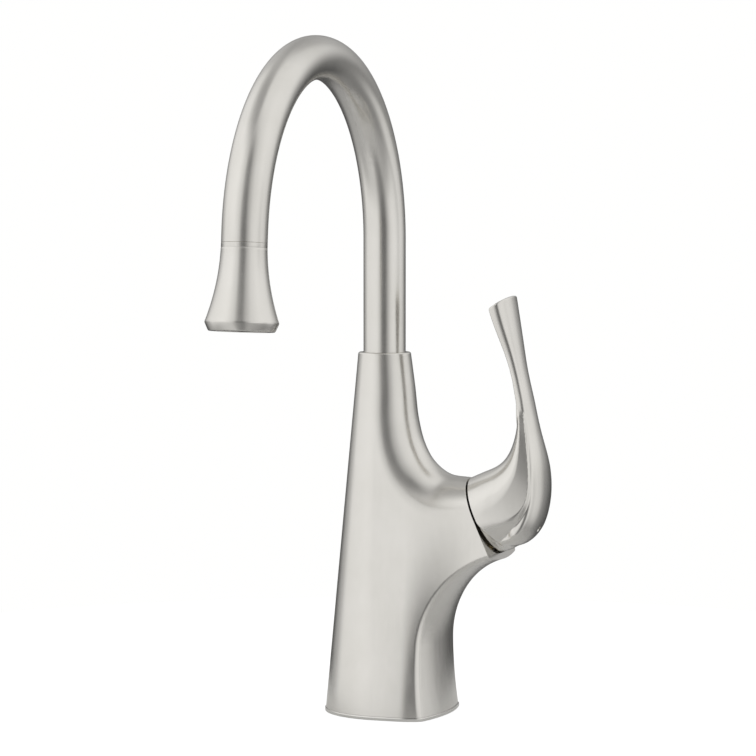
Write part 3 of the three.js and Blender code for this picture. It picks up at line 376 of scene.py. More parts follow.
dome_top = outline([
    (1.2, 22), (7.6, 22), (15.8, 22), (21.2, 23.2), (26, 25.8), (31.2, 30.5), (36.7, 38), (41, 48),
])
dome_foot = outline([
    (1.2, -19.5), (8, -18.5), (18, -15.5), (26, -8.5), (32.5, 0.5), (36.5, 11), (40, 25),
    (43.5, 41),
])
DOME_TIP_HALF_WIDTH = 8.8
DOME_TAPER_POWER = 1.6
DOME_TOP_ROUNDING = 1.3
DOME_FOOT_ROUNDINGS = [(0, 0.8), (0.45, 0.14), (1, 0.05)]
DOME_END = (42.2, 44.5)
DOME_END_WAY = (0.94, 0.34)
DOME_BALL_FILLET = 0.15
DOME_ROUNDS = 28
CHEEK_END_UP = -3.0
CHEEK_END_TILT = math.radians(17.5)
CHEEK_END_ROUNDING = 0.6

leaf_back = outline([(5, -19), (14.5, -20.5), (23.6, -16.7), (33.4, -5.6), (40.4, 10),
                     (44.7, 30.8), (47.8, 46.4), (50.9, 62), (54.7, 77.1), (60.5, 100)])
LEAF_HALF_WIDTHS = [(0, 14.5), (0.1, 17), (0.3, 15.8), (0.56, 9.4), (0.7, 8.6), (1, 14)]
LEAF_CROWNS = [(0, 3.4), (0.1, 4.6), (0.3, 4.4), (0.55, 3.6), (0.63, 3), (0.7, 3), (1, 6.2)]
LEAF_EDGES = [(0, 3.5), (0.3, 3.8), (0.55, 4.4), (0.63, 3.3), (0.7, 3), (1, 4.6)]
LEAF_TIP_SLANT = math.radians(25)
CROWN_ROUNDNESS = 0.96
LEAF_EDGE_ROUNDING = 0.8
LEAF_TIP_ROUNDING = 1.0
LEAF_FILLET = 0.6
LEAF_SPARE = 12.0
LEAF_SHARES = 4
POINTS_AT_ONCE = 4000
HANDLE_LOW, HANDLE_HIGH = (38, 78), (98, 230)


def dome_square(x, z):
    """Half width of the dome squared, below zero outside its outline."""
    point = np.stack([x, z], -1)

    def before(share):
        top = dome_top.at(share)
        return cross(dome_foot.at(share) - top, point - top) > 0

    share = halve(np.zeros(x.shape), np.ones(x.shape), before, DOME_ROUNDS)
    top, foot = dome_top.at(share), dome_foot.at(share)
    length = np.linalg.norm(foot - top, axis=-1)
    distance = ((point - top) * (foot - top)).sum(-1) / length
    half = mix(MOUTH_HALF_WIDTH, DOME_TIP_HALF_WIDTH, share ** DOME_TAPER_POWER)
    upper = bulge(distance, np.minimum(half * DOME_TOP_ROUNDING, length / 2))
    foot_rounding = half * along(DOME_FOOT_ROUNDINGS, share)
    lower = bulge(length - distance, np.minimum(foot_rounding, length / 2))
    sign = np.where((upper < 0) | (lower < 0), -1.0, 1.0)
    return sign * np.abs(upper * lower) * half * half


def leaf_place(x, z):
    """Length along the back of the leaf and depth inwards from it."""
    p = leaf_back.points
    first, last = p[1] - p[0], p[-1] - p[-2]
    p = np.vstack([p[0] - LEAF_SPARE * first / np.linalg.norm(first), p,
                   p[-1] + LEAF_SPARE * last / np.linalg.norm(last)])
    shares = np.linspace(0, 1, LEAF_SHARES, endpoint=False)[:, None]
    p = np.vstack([mix(a, b, shares) for a, b in zip(p, p[1:])] + [p[-1:]])
    lengths = np.linalg.norm(np.diff(p, axis=0), axis=1)
    reach = np.concatenate([[0.0], np.cumsum(lengths)]) - LEAF_SPARE
    flat_x, flat_z = x.ravel(), z.ravel()
    run = np.empty(flat_x.size)
    depth = np.empty(flat_x.size)
    for start in range(0, flat_x.size, POINTS_AT_ONCE):
        part = slice(start, start + POINTS_AT_ONCE)
        gap = (flat_x[part, None] - p[:, 0]) ** 2 + (flat_z[part, None] - p[:, 1]) ** 2
        i = np.clip(gap.argmin(1), 1, len(p) - 2)
        way = unit(p[i + 1] - p[i - 1])
        step = np.stack([flat_x[part], flat_z[part]], 1) - p[i]
        run[part] = reach[i] + (step * way).sum(1)
        depth[part] = cross(way, step)
    return run.reshape(x.shape), depth.reshape(x.shape)


dome_table = Table(dome_square, HANDLE_LOW, HANDLE_HIGH)
run_table = Table(lambda x, z: leaf_place(x, z)[0], HANDLE_LOW, HANDLE_HIGH)
depth_table = Table(lambda x, z: leaf_place(x, z)[1], HANDLE_LOW, HANDLE_HIGH)


def crown_rise(across):
    """How far the leaf's back falls from its middle line, as a share of its edges' fall, and the
    slope there."""
    near = np.minimum(np.abs(across), 1)
    left = np.sqrt(1 - (CROWN_ROUNDNESS * near) ** 2)
    whole = 1 - math.sqrt(1 - CROWN_ROUNDNESS ** 2)
    return (1 - left) / whole, CROWN_ROUNDNESS ** 2 * near / left / whole


def leaf_field(y, run, depth):
    """Distance to the leaf's skin, from the length along its back and the depth inwards."""
    share = run / leaf_back.length
    half = along(LEAF_HALF_WIDTHS, share)
    crown = along(LEAF_CROWNS, share)
    edge = along(LEAF_EDGES, share)
    across = y / half
    rise, slope = crown_rise(across)
    outer = (crown * rise - depth) / np.sqrt(1 + (crown * slope / half) ** 2)
    inner = depth - edge - crown * (2 + across ** 2) / 3
    inner = inner / np.sqrt(1 + (crown * across / half) ** 2)
    form = round_both(outer, inner, LEAF_EDGE_ROUNDING)
    form = round_both(form, np.abs(y) - half, LEAF_EDGE_ROUNDING)
    tip = (run - leaf_back.length + depth * math.tan(LEAF_TIP_SLANT)) * math.cos(LEAF_TIP_SLANT)
    form = round_both(form, tip, LEAF_TIP_ROUNDING)
    return round_both(form, -run, LEAF_TIP_ROUNDING)


def handle_reading(x, z):
    return [*dome_table.read(x, z), run_table.read(x, z)[0], depth_table.read(x, z)[0]]


def handle_field(x, y, z, reading=None):
    """Distance to the handle's skin, below zero inside it."""
    if reading is None:
        reading = handle_reading(x, z)
    square, along_x, along_z, run, depth = reading
    out, up = to_mouth(x, z)
    slope = math.tan(CHEEK_END_TILT)
    cheek_end = (SKIRT_GAP + slope * (CHEEK_END_UP - up) - out) * math.cos(CHEEK_END_TILT)
    dome_end = (out - DOME_END[0]) * DOME_END_WAY[0] + (up - DOME_END[1]) * DOME_END_WAY[1]
    dome = round_both(depth_field(y, square, along_x, along_z), cheek_end, CHEEK_END_ROUNDING)
    dome = np.maximum(dome, np.maximum(dome_end, SKIRT_GAP - CUT_SPARE - out))
    ball = np.sqrt((out - PIVOT_OFFSET) ** 2 + up ** 2 + y ** 2) - SKIRT_RADIUS
    dome = round_either(dome, ball, DOME_BALL_FILLET)
    return round_either(dome, leaf_field(y, run, depth), LEAF_FILLET)


# --- Meshes ----------------------------------------------------


def add_mesh(name, points, faces):
    """A mesh object from points in millimetres."""
    mesh = bpy.data.meshes.new(name)
    points = np.asarray(points, float) * MM
    mesh.from_pydata(points.tolist(), [], [list(map(int, face)) for face in faces])
    mesh.validate()
    mesh.shade_smooth()
    thing = bpy.data.objects.new(name, mesh)
    bpy.context.scene.collection.objects.link(thing)
    return thing


def net_skin(values, axes):
    """The skin between negative and positive values on a grid, as points and quads."""
    inside = values < 0
    count = [n - 1 for n in values.shape]
    total = count[0] * count[1] * count[2]
    crossing_sum = np.zeros((total, 3))
    crossings = np.zeros(total)
    quads = []
    for axis in range(3):
        lower = [slice(None)] * 3
        upper = [slice(None)] * 3
        lower[axis], upper[axis] = slice(0, -1), slice(1, None)
        lower, upper = tuple(lower), tuple(upper)
        edges = np.argwhere(inside[lower] != inside[upper])
        others = [a for a in range(3) if a != axis]
        away = [(edges[:, a] > 0) & (edges[:, a] < values.shape[a] - 1) for a in others]
        edges = edges[np.all(away, axis=0)]
        start, end = edges.copy(), edges.copy()
        end[:, axis] += 1
        a, b = values[tuple(start.T)], values[tuple(end.T)]
        share = a / (a - b)
        place = np.stack([axes[n][start[:, n]] for n in range(3)], 1)
        place[:, axis] = mix(axes[axis][start[:, axis]], axes[axis][end[:, axis]], share)
        around = []
        for first, second in ((-1, -1), (0, -1), (0, 0), (-1, 0)):
            cell = start.copy()
            cell[:, others[0]] += first
            cell[:, others[1]] += second
            index = (cell[:, 0] * count[1] + cell[:, 1]) * count[2] + cell[:, 2]
            crossings += np.bincount(index, minlength=total)
            for n in range(3):
                crossing_sum[:, n] += np.bincount(index, weights=place[:, n], minlength=total)
            around.append(index)
        quad = np.stack(around, 1)
        flip = (a < 0) == (axis == 1)
        quad[flip] = quad[flip][:, ::-1]
        quads.append(quad)
    used = np.flatnonzero(crossings)
    number = np.zeros(total, int)
    number[used] = np.arange(used.size)
    return crossing_sum[used] / crossings[used, None], number[np.vstack(quads)]


def slopes(field, points, step=0.02):
    """Value and gradient of a field at points."""
    x, y, z = points.T
    value = field(x, y, z)
    gradient = np.stack([
        field(x + step, y, z) - field(x - step, y, z),
        field(x, y + step, z) - field(x, y - step, z),
        field(x, y, z + step) - field(x, y, z - step),
    ], 1) / (2 * step)
    return value, gradient


LEAST_STEEPNESS = 0.2
LONGEST_MOVE = 0.5
FIRST_SETTLE_ROUNDS = 3
RELAX_ROUNDS = 3
SETTLE_ROUNDS = 2


def settle(field, points, rounds):
    """Moves points onto the skin of a field."""
    for _ in range(rounds):
        value, gradient = slopes(field, points)
        steepness = np.maximum((gradient ** 2).sum(1), LEAST_STEEPNESS)
        step = value[:, None] * gradient / steepness[:, None]
        size = np.linalg.norm(step, axis=1)[:, None]
        points = points - step * np.minimum(1, LONGEST_MOVE / np.maximum(size, 1e-9))
    return points


def relax(points, quads):
    """Moves each point half way to the middle of its neighbours."""
    sums = np.zeros_like(points)
    counts = np.zeros(len(points))
    for a, b in ((0, 1), (1, 2), (2, 3), (3, 0)):
        for here, there in ((quads[:, a], quads[:, b]), (quads[:, b], quads[:, a])):
            counts += np.bincount(here, minlength=len(points))
            for n in range(3):
                sums[:, n] += np.bincount(here, weights=points[there, n], minlength=len(points))
    return (points + sums / counts[:, None]) / 2


def field_skin(field, axes, readings):
    """Fine skin of a field. The readings give its parts that depend on X and Z alone."""
    x, y, z = (axis.reshape([-1 if n == m else 1 for m in range(3)]) for n, axis in enumerate(axes))
    values = field(x, y, z, [r[:, None, :] for r in readings])
    points, quads = net_skin(values, axes)
    points = settle(field, points, FIRST_SETTLE_ROUNDS)
    for _ in range(RELAX_ROUNDS):
        points = settle(field, relax(points, quads), SETTLE_ROUNDS)
    return points, quads


def grid(low, high, step):
    return np.arange(low, high + step / 2, step)


def turned(profile, segments=96):
    """A closed profile of (radius, height) points turned about Z."""
    turns = np.linspace(0, 2 * math.pi, segments, endpoint=False)
    points, start = [], []
    for radius, height in profile:
        start.append(len(points))
        ring = turns if radius > 1e-6 else turns[:1]
        points += [(radius * math.cos(t), radius * math.sin(t), height) for t in ring]
    start.append(len(points))
    faces = []
    for j in range(len(profile)):
        k = (j + 1) % len(profile)
        near, far = start[j], start[k]
        single_near = start[j + 1] - near == 1
        single_far = start[k + 1] - far == 1
        if single_near and single_far:
            continue
        for i in range(segments):
            n = (i + 1) % segments
            if single_near:
                faces.append((near, far + n, far + i))
            elif single_far:
                faces.append((near + i, near + n, far))
            else:
                faces.append((near + i, near + n, far + n, far + i))
    return np.array(points), faces


def rod(radius, low, high, segments=96):
    return turned([(0, low), (radius, low), (radius, high), (0, high)], segments)


def looped(rings):
    """Closed rings joined by a skin, the last one to the first."""
    count, rows = len(rings[0]), len(rings)
    faces = [(j * count + i, j * count + (i + 1) % count,
              (j + 1) % rows * count + (i + 1) % count, (j + 1) % rows * count + i)
             for j in range(rows) for i in range(count)]
    return np.vstack(rings), faces


def loft(rings):
    """Closed rings joined by a skin and closed by a face at each end."""
    count = len(rings[0])
    faces = [tuple(reversed(range(count)))]
    for j in range(len(rings) - 1):
        for i in range(count):
            n = (i + 1) % count
            faces.append((j * count + i, j * count + n, (j + 1) * count + n, (j + 1) * count + i))
    faces.append(tuple(range((len(rings) - 1) * count, len(rings) * count)))
    return np.vstack(rings), faces


def block(low, high):
    (x0, y0, z0), (x1, y1, z1) = low, high
    plan = [(x0, y0), (x1, y0), (x1, y1), (x0, y1)]
    return loft([np.array([(x, y, z) for x, y in plan]) for z in (z0, z1)])


def placed(shape, matrix):
    points, faces = shape
    turn = np.array(matrix.to_3x3())
    return points @ turn.T + np.array(matrix.translation), faces


def arch_point(turn):
    """A point of the arch's middle line."""
    rise = ARCH_CENTRE + ARCH_RADIUS * math.sin(turn)
    return np.array([0, ARCH_RADIUS * (math.cos(turn) - 1), rise])


VALVE = (Matrix.Translation((MOUTH[0], 0, MOUTH[1]))
         @ Matrix.Rotation(math.pi / 2 - MOUTH_RISE, 4, "Y"))
LEG = np.array([0, -math.sin(ARCH_SWEEP), math.cos(ARCH_SWEEP)])
SEAM = arch_point(ARCH_SWEEP) + LEG * LEG_LENGTH
OUTLET = Matrix.Translation(SEAM) @ Matrix.Rotation(ARCH_SWEEP, 4, "X")


def listed(items, name, kind=float):
    """A triple from every item of a mesh."""
    values = np.empty(len(items) * 3, kind)
    items.foreach_get(name, values)
    return values.reshape(-1, 3)


def counted(items, name):
    """A whole number from every item of a mesh."""
    values = np.empty(len(items), int)
    items.foreach_get(name, values)
    return values


def outward(thing):
    """Turns a closed mesh's faces outwards."""
    mesh = thing.data
    mesh.calc_loop_triangles()
    points = listed(mesh.vertices, "co")
    corners = listed(mesh.loop_triangles, "vertices", int)
    a, b, c = points[corners].transpose(1, 0, 2)
    if (a * np.cross(b, c)).sum() < 0:
        mesh.flip_normals()
    return thing


def carve(thing, shapes):
    """Cuts closed shapes out of a mesh."""
    tools = []
    for number, shape in enumerate(shapes):
        tool = shape if isinstance(shape, bpy.types.Object) else add_mesh(f"tool_{number}", *shape)
        outward(tool)
        modifier = thing.modifiers.new("carve", "BOOLEAN")
        modifier.operation = "DIFFERENCE"
        modifier.solver = "MANIFOLD"
        modifier.object = tool
        tools.append(tool)
    bpy.context.view_layer.update()
    carved = thing.evaluated_get(bpy.context.evaluated_depsgraph_get())
    whole = bpy.data.meshes.new_from_object(carved)
    thing.modifiers.clear()
    thing.data = whole
    for tool in tools:
        bpy.data.objects.remove(tool)
    return thing


SHARP_DEGREES = 32
BELL_SHARP_DEGREES = 40
FACE_REACH = 0.12
FACE_ALIGNMENT = 0.6
CORNER_REACH = 0.05


def edge_by_angle(thing, degrees=SHARP_DEGREES):
    thing.data.shade_smooth()
    thing.data.set_sharp_from_angle(angle=math.radians(degrees))
    return thing


def edged_mesh(name, shape, degrees=SHARP_DEGREES):
    return edge_by_angle(outward(add_mesh(name, *shape)), degrees)


def face_by_field(thing, field):
    """Gives the outer skin the field's own normals, so that it reflects without facets."""
    mesh = edge_by_angle(thing).data
    value, gradient = slopes(field, listed(mesh.vertices, "co") / MM)
    face_value, face_gradient = slopes(field, listed(mesh.polygons, "center") / MM)
    alignment = (unit(face_gradient) * listed(mesh.polygons, "normal")).sum(1)
    skin = (np.abs(face_value) < FACE_REACH) & (alignment > FACE_ALIGNMENT)
    corner_normals = listed(mesh.corner_normals, "vector")
    corner_points = counted(mesh.loops, "vertex_index")
    on_skin = np.repeat(skin, counted(mesh.polygons, "loop_total"))
    on_skin &= np.abs(value[corner_points]) < CORNER_REACH
    corner_normals[on_skin] = unit(gradient)[corner_points[on_skin]]
    mesh.normals_split_custom_set(corner_normals.tolist())
    return thing


# --- Body shell ------------------------------------------------


def plan_ellipse(left, right, half_depth, height, segments=96):
    turns = np.linspace(0, 2 * math.pi, segments, endpoint=False)
    x = (left + right) / 2 + (right - left) / 2 * np.cos(turns)
    return np.stack([x, half_depth * np.sin(turns), np.full(segments, float(height))], 1)


def mouth_outline(margin, steps=48):
    """Inner outline of the mouth: x down across it, y to the side."""
    half = MOUTH_HALF_WIDTH - margin
    crown = MOUTH_TOP - MOUTH_HALF_WIDTH
    foot = MOUTH_HALF_WIDTH - MOUTH_FOOT_RISE - margin
    points = [(-crown + half * math.cos(t), half * math.sin(t))
              for t in np.linspace(math.pi / 2, 3 * math.pi / 2, steps)]
    for t in np.linspace(0, 1, steps // 2):
        points.append((foot + 2 * t * (1 - t) * MOUTH_FOOT_BOW * COVE_BOW, mix(-half, half, t)))
    return points


CAVITY_TOP = COLUMN_TOP + COLUMN_HEADROOM
LIP_FOOT = TOWER_HEIGHT - COLLAR_LIP_HEIGHT
COVE_WAIST = COVE_X - COVE_RADIUS
POCKET_SHARES = 8
BODY_STEP = 0.9
COLLAR_STEP = 0.3
OVERCUT = 1.0


def mouth_pocket():
    """The mouth's inner outline, rounded in its lower corners."""
    corners = np.array(mouth_outline(MOUTH_WALL))
    shares = np.linspace(0, 1, POCKET_SHARES, endpoint=False)[:, None]
    ends = np.roll(corners, -1, axis=0)
    points = np.vstack([mix(start, end, shares) for start, end in zip(corners, ends)])
    reach = np.linalg.norm(points, axis=1)[:, None]
    plan = points * np.minimum(1, POCKET_ROUND_RADIUS / reach)
    rings = [np.column_stack([plan, np.full(len(plan), z)]) for z in (-MOUTH_DEPTH, CUT_SPARE)]
    return placed(loft(rings), VALVE)


def body_shell():
    axes = [grid(-34, 70, BODY_STEP), grid(-35.1, 35.1, BODY_STEP),
            np.concatenate([grid(-2, 186.4, BODY_STEP), grid(186.9, 190.6, COLLAR_STEP)])]
    plane = np.meshgrid(axes[0], axes[2], indexing="ij")
    points, quads = field_skin(body_field, axes, body_table.read(*plane))
    body = outward(add_mesh("body_skin", points, quads))
    cavity = loft([
        plan_ellipse(-back_radius(z) + SHELL_WALL, right, tower_half_depth(z) - SHELL_WALL, z)
        for z, right in ((-OVERCUT, COVE_WAIST + COVE_FLARE), (COVE_HEIGHT, COVE_WAIST),
                         (CAVITY_TOP, back_radius(CAVITY_TOP) - SHELL_WALL))
    ])
    shoulder_foot = -MOUTH_DEPTH - SHOULDER_THICKNESS
    carve(body, [
        block((-80, -80, -60), (180, 80, TRIM_HEIGHT + FIT_GAP)),  # all below the foot
        placed(block((-60, -60, 0), (60, 60, 60)), VALVE),  # all past the mouth
        cavity,
        rod(GLIDE_RING_RADIUS + FIT_GAP, CAVITY_TOP - OVERCUT, LIP_FOOT),
        rod(TUBE_RADIUS + FIT_GAP, LIP_FOOT - OVERCUT, TOWER_HEIGHT + OVERCUT, segments=128),
        placed(rod(ARM_BORE_RADIUS, -ARM_CAVITY_DEPTH, shoulder_foot), VALVE),
        placed(rod(SHOULDER_BORE_RADIUS, shoulder_foot - OVERCUT, -MOUTH_DEPTH + OVERCUT), VALVE),
        mouth_pocket(),
    ])
    return face_by_field(body, body_field)


# --- Lever handle ----------------------------------------------

HANDLE_STEP = 0.5
SCREW_BORE_REACH = 30


def sphere(radius, centre, segments=96, rings=48):
    profile = [(radius * math.sin(t), centre - radius * math.cos(t))
               for t in np.linspace(0, math.pi, rings + 1)]
    profile[0], profile[-1] = (0, centre - radius), (0, centre + radius)
    return turned(profile, segments)


def lever_handle():
    axes = [grid(42, 94, HANDLE_STEP), grid(-23, 23, HANDLE_STEP), grid(82, 226, HANDLE_STEP)]
    readings = handle_reading(*np.meshgrid(axes[0], axes[2], indexing="ij"))
    points, quads = field_skin(handle_field, axes, readings)
    handle = outward(add_mesh("lever_skin", points, quads))
    hollow_end = PIVOT_OFFSET + CAVITY_RADIUS
    boss = rod(BOSS_RADIUS, hollow_end - BOSS_DEPTH, hollow_end + 2 * OVERCUT, segments=64)
    hollow = outward(add_mesh("hollow", *placed(sphere(CAVITY_RADIUS, PIVOT_OFFSET), VALVE)))
    carve(hollow, [placed(boss, VALVE)])
    half = STEM_HALF + FIT_GAP
    turn_down = Matrix.Translation((0, 0, SET_SCREW_OFFSET)) @ Matrix.Rotation(math.pi / 2, 4, "Y")
    screw_bore = rod(SET_SCREW_RADIUS + FIT_GAP, 0, SCREW_BORE_REACH, segments=48)
    carve(handle, [
        placed(block((-60, -60, -60), (60, 60, SKIRT_GAP)), VALVE),  # all inside the mouth
        hollow,
        placed(block((-half, -half, 0), (half, half, STEM_REACH + FIT_GAP)), VALVE),
        placed(screw_bore, VALVE @ turn_down),
    ])
    return face_by_field(handle, handle_field)


# --- Spout: tube and bell --------------------------------------

RISER_STEPS = 12
ARCH_STEPS = 140


def spout_tube(segments=96):
    riser = ARCH_CENTRE - TUBE_FOOT
    arch = ARCH_RADIUS * ARCH_SWEEP
    distances = np.concatenate([np.linspace(0, riser, RISER_STEPS, endpoint=False),
                                riser + np.linspace(0, arch, ARCH_STEPS, endpoint=False),
                                riser + arch + np.array([0, LEG_LENGTH])])
    turns = np.linspace(0, 2 * math.pi, segments, endpoint=False)
    aside = np.cos(turns)[:, None] * np.array([1.0, 0, 0])
    rings = []
    for radius, order in ((TUBE_RADIUS, distances), (TUBE_RADIUS - TUBE_WALL, distances[::-1])):
        for distance in order:
            turn = min(max(0.0, (distance - riser) / ARCH_RADIUS), ARCH_SWEEP)
            centre = arch_point(turn)
            if distance < riser:
                centre[2] = TUBE_FOOT + distance
            centre = centre + LEG * max(0.0, distance - riser - arch)
            across = np.sin(turns)[:, None] * np.array([0, math.cos(turn), math.sin(turn)])
            rings.append(centre + radius * (aside + across))
    return edged_mesh("spout_tube_skin", looped(rings))


BELL_STEPS = 40
# Corners of the bell as (change of radius, height from the nearest edge): its raised lip at the
# seam, the band's lower edge, the rim's chamfer and the edge of the bore.
SEAM_LIP = [(-0.6, FIT_GAP), (-0.5, SEAM_GAP), (-0.1, SEAM_GAP), (0, SEAM_GAP + 0.1)]
BAND_EDGE = 0.15
BAND_BREAK = 0.1
GROOVE_FOOT = (-0.08, -0.05)
FLARE_TOP = 0.1
FLARE_FOOT = 0.5
CHAMFER_TOP = [(-0.03, 0), (-0.2, 0.5)]
CHAMFER_FOOT = [(0.25, -0.45), (-0.1, -0.1), (-0.5, 0)]
BORE_BREAK = 0.2


def outlet_bell():
    def skin(length):
        return TUBE_RADIUS + BELL_FLARE * (length / BELL_FLARE_LENGTH) ** 2

    socket = TUBE_RADIUS - TUBE_WALL - THREAD_PLAY
    seat = BELL_LENGTH - AERATOR_RECESS - AERATOR_LENGTH - 2 * FIT_GAP - AERATOR_SEAL
    bore = AERATOR_RADIUS + FIT_GAP
    start = BELL_BAND + 2 * BELL_GROOVE
    profile = [
        (socket, FIT_GAP),
        *((TUBE_RADIUS + shift, height) for shift, height in SEAM_LIP),
        (skin(BELL_BAND - BAND_EDGE), BELL_BAND - BAND_EDGE),
        (skin(BELL_BAND) - BAND_BREAK, BELL_BAND),
        (skin(BELL_BAND) - BELL_GROOVE, BELL_BAND + BELL_GROOVE),
        (skin(start) + GROOVE_FOOT[0], start + GROOVE_FOOT[1]),
    ]
    lengths = np.linspace(start + FLARE_TOP, BELL_FLARE_LENGTH - FLARE_FOOT, BELL_STEPS)
    profile += [(skin(length), length) for length in lengths]
    rim = skin(BELL_FLARE_LENGTH)
    profile += [(rim + shift, BELL_FLARE_LENGTH + rise) for shift, rise in CHAMFER_TOP]
    profile += [(rim - BELL_CHAMFER + shift, BELL_LENGTH + rise) for shift, rise in CHAMFER_FOOT]
    profile += [
        (bore + BORE_BREAK, BELL_LENGTH),
        (bore, BELL_LENGTH - BORE_BREAK),
        (bore, seat),
        (BELL_THROAT_RADIUS, seat),
        (BELL_THROAT_RADIUS, BELL_SOCKET_DEPTH),
        (socket, BELL_SOCKET_DEPTH),
    ]
    shape = placed(turned(profile, segments=128), OUTLET)
    return edged_mesh("outlet_bell_skin", shape, BELL_SHARP_DEGREES)


TRIM_LIP = TRIM_HEIGHT + FIT_GAP - SEAM_GAP
# The trim ring's outer edge, as (change of radius, height).
TRIM_EDGE = [
    (-0.5, 0), (-0.15, 0.12), (0, 0.4), (0, TRIM_LIP - 0.2), (-0.06, TRIM_LIP - 0.06),
    (-0.3, TRIM_LIP), (-1.5, TRIM_LIP),
]
OUTLINE_LEAST, OUTLINE_MOST = 20.0, 45.0
OUTLINE_LEVEL = 1.0
OUTLINE_ROUNDS = 40


def trim_ring(segments=240):
    """Ring that follows the body's own outline under its foot."""
    turns = np.linspace(0, 2 * math.pi, segments, endpoint=False)
    way = np.stack([np.cos(turns), np.sin(turns)], 1)

    def inside(reach):
        x, y = (way * reach[:, None]).T
        return body_field(x, y, np.full(segments, OUTLINE_LEVEL)) < 0

    least, most = np.full(segments, OUTLINE_LEAST), np.full(segments, OUTLINE_MOST)
    spread = halve(least, most, inside, OUTLINE_ROUNDS) * (1 + TRIM_PROUD / FOOT_BACK_RADIUS)
    rings = [np.column_stack([way * (spread + shift)[:, None], np.full(segments, height)])
             for shift, height in TRIM_EDGE]
    rings += [plan_ellipse(-FOOT_BACK_RADIUS + SHELL_WALL, COVE_WAIST + COVE_FLARE,
                           FOOT_HALF_DEPTH - SHELL_WALL, height, segments)
              for height in (TRIM_HEIGHT, 0)]
    return edged_mesh("base_trim_skin", looped(rings))


def bonnet():
    """Dark ball-shaped cap that shows in the gap between the arm and the handle. It is a real cap,
    but its dark colour is partly painted shade for the shadow in that gap.
    """
    inner = BONNET_RADIUS - BONNET_WALL
    neck_inner = BONNET_NECK_RADIUS + FIT_GAP
    neck_outer = neck_inner + BONNET_NECK_WALL
    foot = -MOUTH_DEPTH + FIT_GAP + NUT_FLANGE + FIT_GAP
    outer_end = math.pi - math.asin(neck_outer / BONNET_RADIUS)
    inner_end = math.pi - math.asin(neck_inner / inner)

    def bowl(radius, start, end, steps):
        return [(radius * math.sin(t), PIVOT_OFFSET + radius * math.cos(t))
                for t in np.linspace(start, end, steps)]

    profile = bowl(BONNET_RADIUS, BONNET_OPENING, outer_end, steps=40)
    profile += [(neck_outer, foot), (neck_inner, foot)]
    profile += bowl(inner, inner_end, BONNET_OPENING, steps=30)
    return edged_mesh("bonnet_skin", placed(turned(profile), VALVE))


# --- Materials -------------------------------------------------


NOISE_LOW, NOISE_HIGH = 0.3, 0.7
METAL_CLOUD_SCALE = 35
PLASTIC_CLOUD_SCALE = 60


def set_inputs(node, values):
    for name, value in values.items():
        node.inputs[name].default_value = value
    return node


def new_material(name):
    material = bpy.data.materials.new(name)
    material.use_nodes = True
    nodes = material.node_tree.nodes
    nodes.clear()
    output = nodes.new("ShaderNodeOutputMaterial")
    shader = nodes.new("ShaderNodeBsdfPrincipled")
    material.node_tree.links.new(shader.outputs[0], output.inputs[0])
    return material, nodes, material.node_tree.links, shader


def noise(nodes, links, scale, stretch=(1, 1, 1), detail=4, roughness=0.55):
    """Noise over the object's own coordinates, drawn out along its axes."""
    place = nodes.new("ShaderNodeTexCoord")
    mapping = set_inputs(nodes.new("ShaderNodeMapping"), {"Scale": stretch})
    texture = set_inputs(nodes.new("ShaderNodeTexNoise"),
                         {"Scale": scale, "Detail": detail, "Roughness": roughness})
    links.new(place.outputs["Object"], mapping.inputs["Vector"])
    links.new(mapping.outputs[0], texture.inputs["Vector"])
    return texture.outputs[0]


def ranged(nodes, links, source, low, high):
    """The usual span of a noise spread between two values."""
    span = {"From Min": NOISE_LOW, "From Max": NOISE_HIGH, "To Min": low, "To Max": high}
    node = set_inputs(nodes.new("ShaderNodeMapRange"), span)
    links.new(source, node.inputs["Value"])
    return node.outputs[0]


def tinted(nodes, links, source, low, high):
    """The usual span of a noise spread between two colours."""
    ramp = nodes.new("ShaderNodeValToRGB")
    first, last = ramp.color_ramp.elements
    first.position, last.position = NOISE_LOW, NOISE_HIGH
    first.color, last.color = (*low, 1), (*high, 1)
    links.new(source, ramp.inputs[0])
    return ramp.outputs[0]


def bump(nodes, links, source, distance, strength):
    node = set_inputs(nodes.new("ShaderNodeBump"), {"Strength": strength, "Distance": distance})
    links.new(source, node.inputs["Height"])
    return node.outputs[0]


def metal(name, low, high, roughness, stretch, scale=900, depth=0.00001, strength=0.15):
    """Metal with faint cloudy colour, uneven polish and a fine grain."""
    material, nodes, links, shader = new_material(name)
    shader.inputs["Metallic"].default_value = 1.0
    cloud = noise(nodes, links, METAL_CLOUD_SCALE, detail=3)
    links.new(tinted(nodes, links, cloud, low, high), shader.inputs["Base Color"])
    wear = noise(nodes, links, scale / 4, stretch, detail=5)
    links.new(ranged(nodes, links, wear, *roughness), shader.inputs["Roughness"])
    fine = noise(nodes, links, scale, stretch, detail=3)
    links.new(bump(nodes, links, fine, depth, strength), shader.inputs["Normal"])
    return material


def plastic(name, low, high, roughness, scale, depth=0.00002, strength=0.2, sheen=0.0):
    """Moulded material with faint mottling and a fine surface texture."""
    material, nodes, links, shader = new_material(name)
    shader.inputs["Sheen Weight"].default_value = sheen
    cloud = noise(nodes, links, PLASTIC_CLOUD_SCALE, detail=3)
    links.new(tinted(nodes, links, cloud, low, high), shader.inputs["Base Color"])
    wear = noise(nodes, links, scale / 3)
    links.new(ranged(nodes, links, wear, *roughness), shader.inputs["Roughness"])
    fine = noise(nodes, links, scale)
    links.new(bump(nodes, links, fine, depth, strength), shader.inputs["Normal"])
    return material


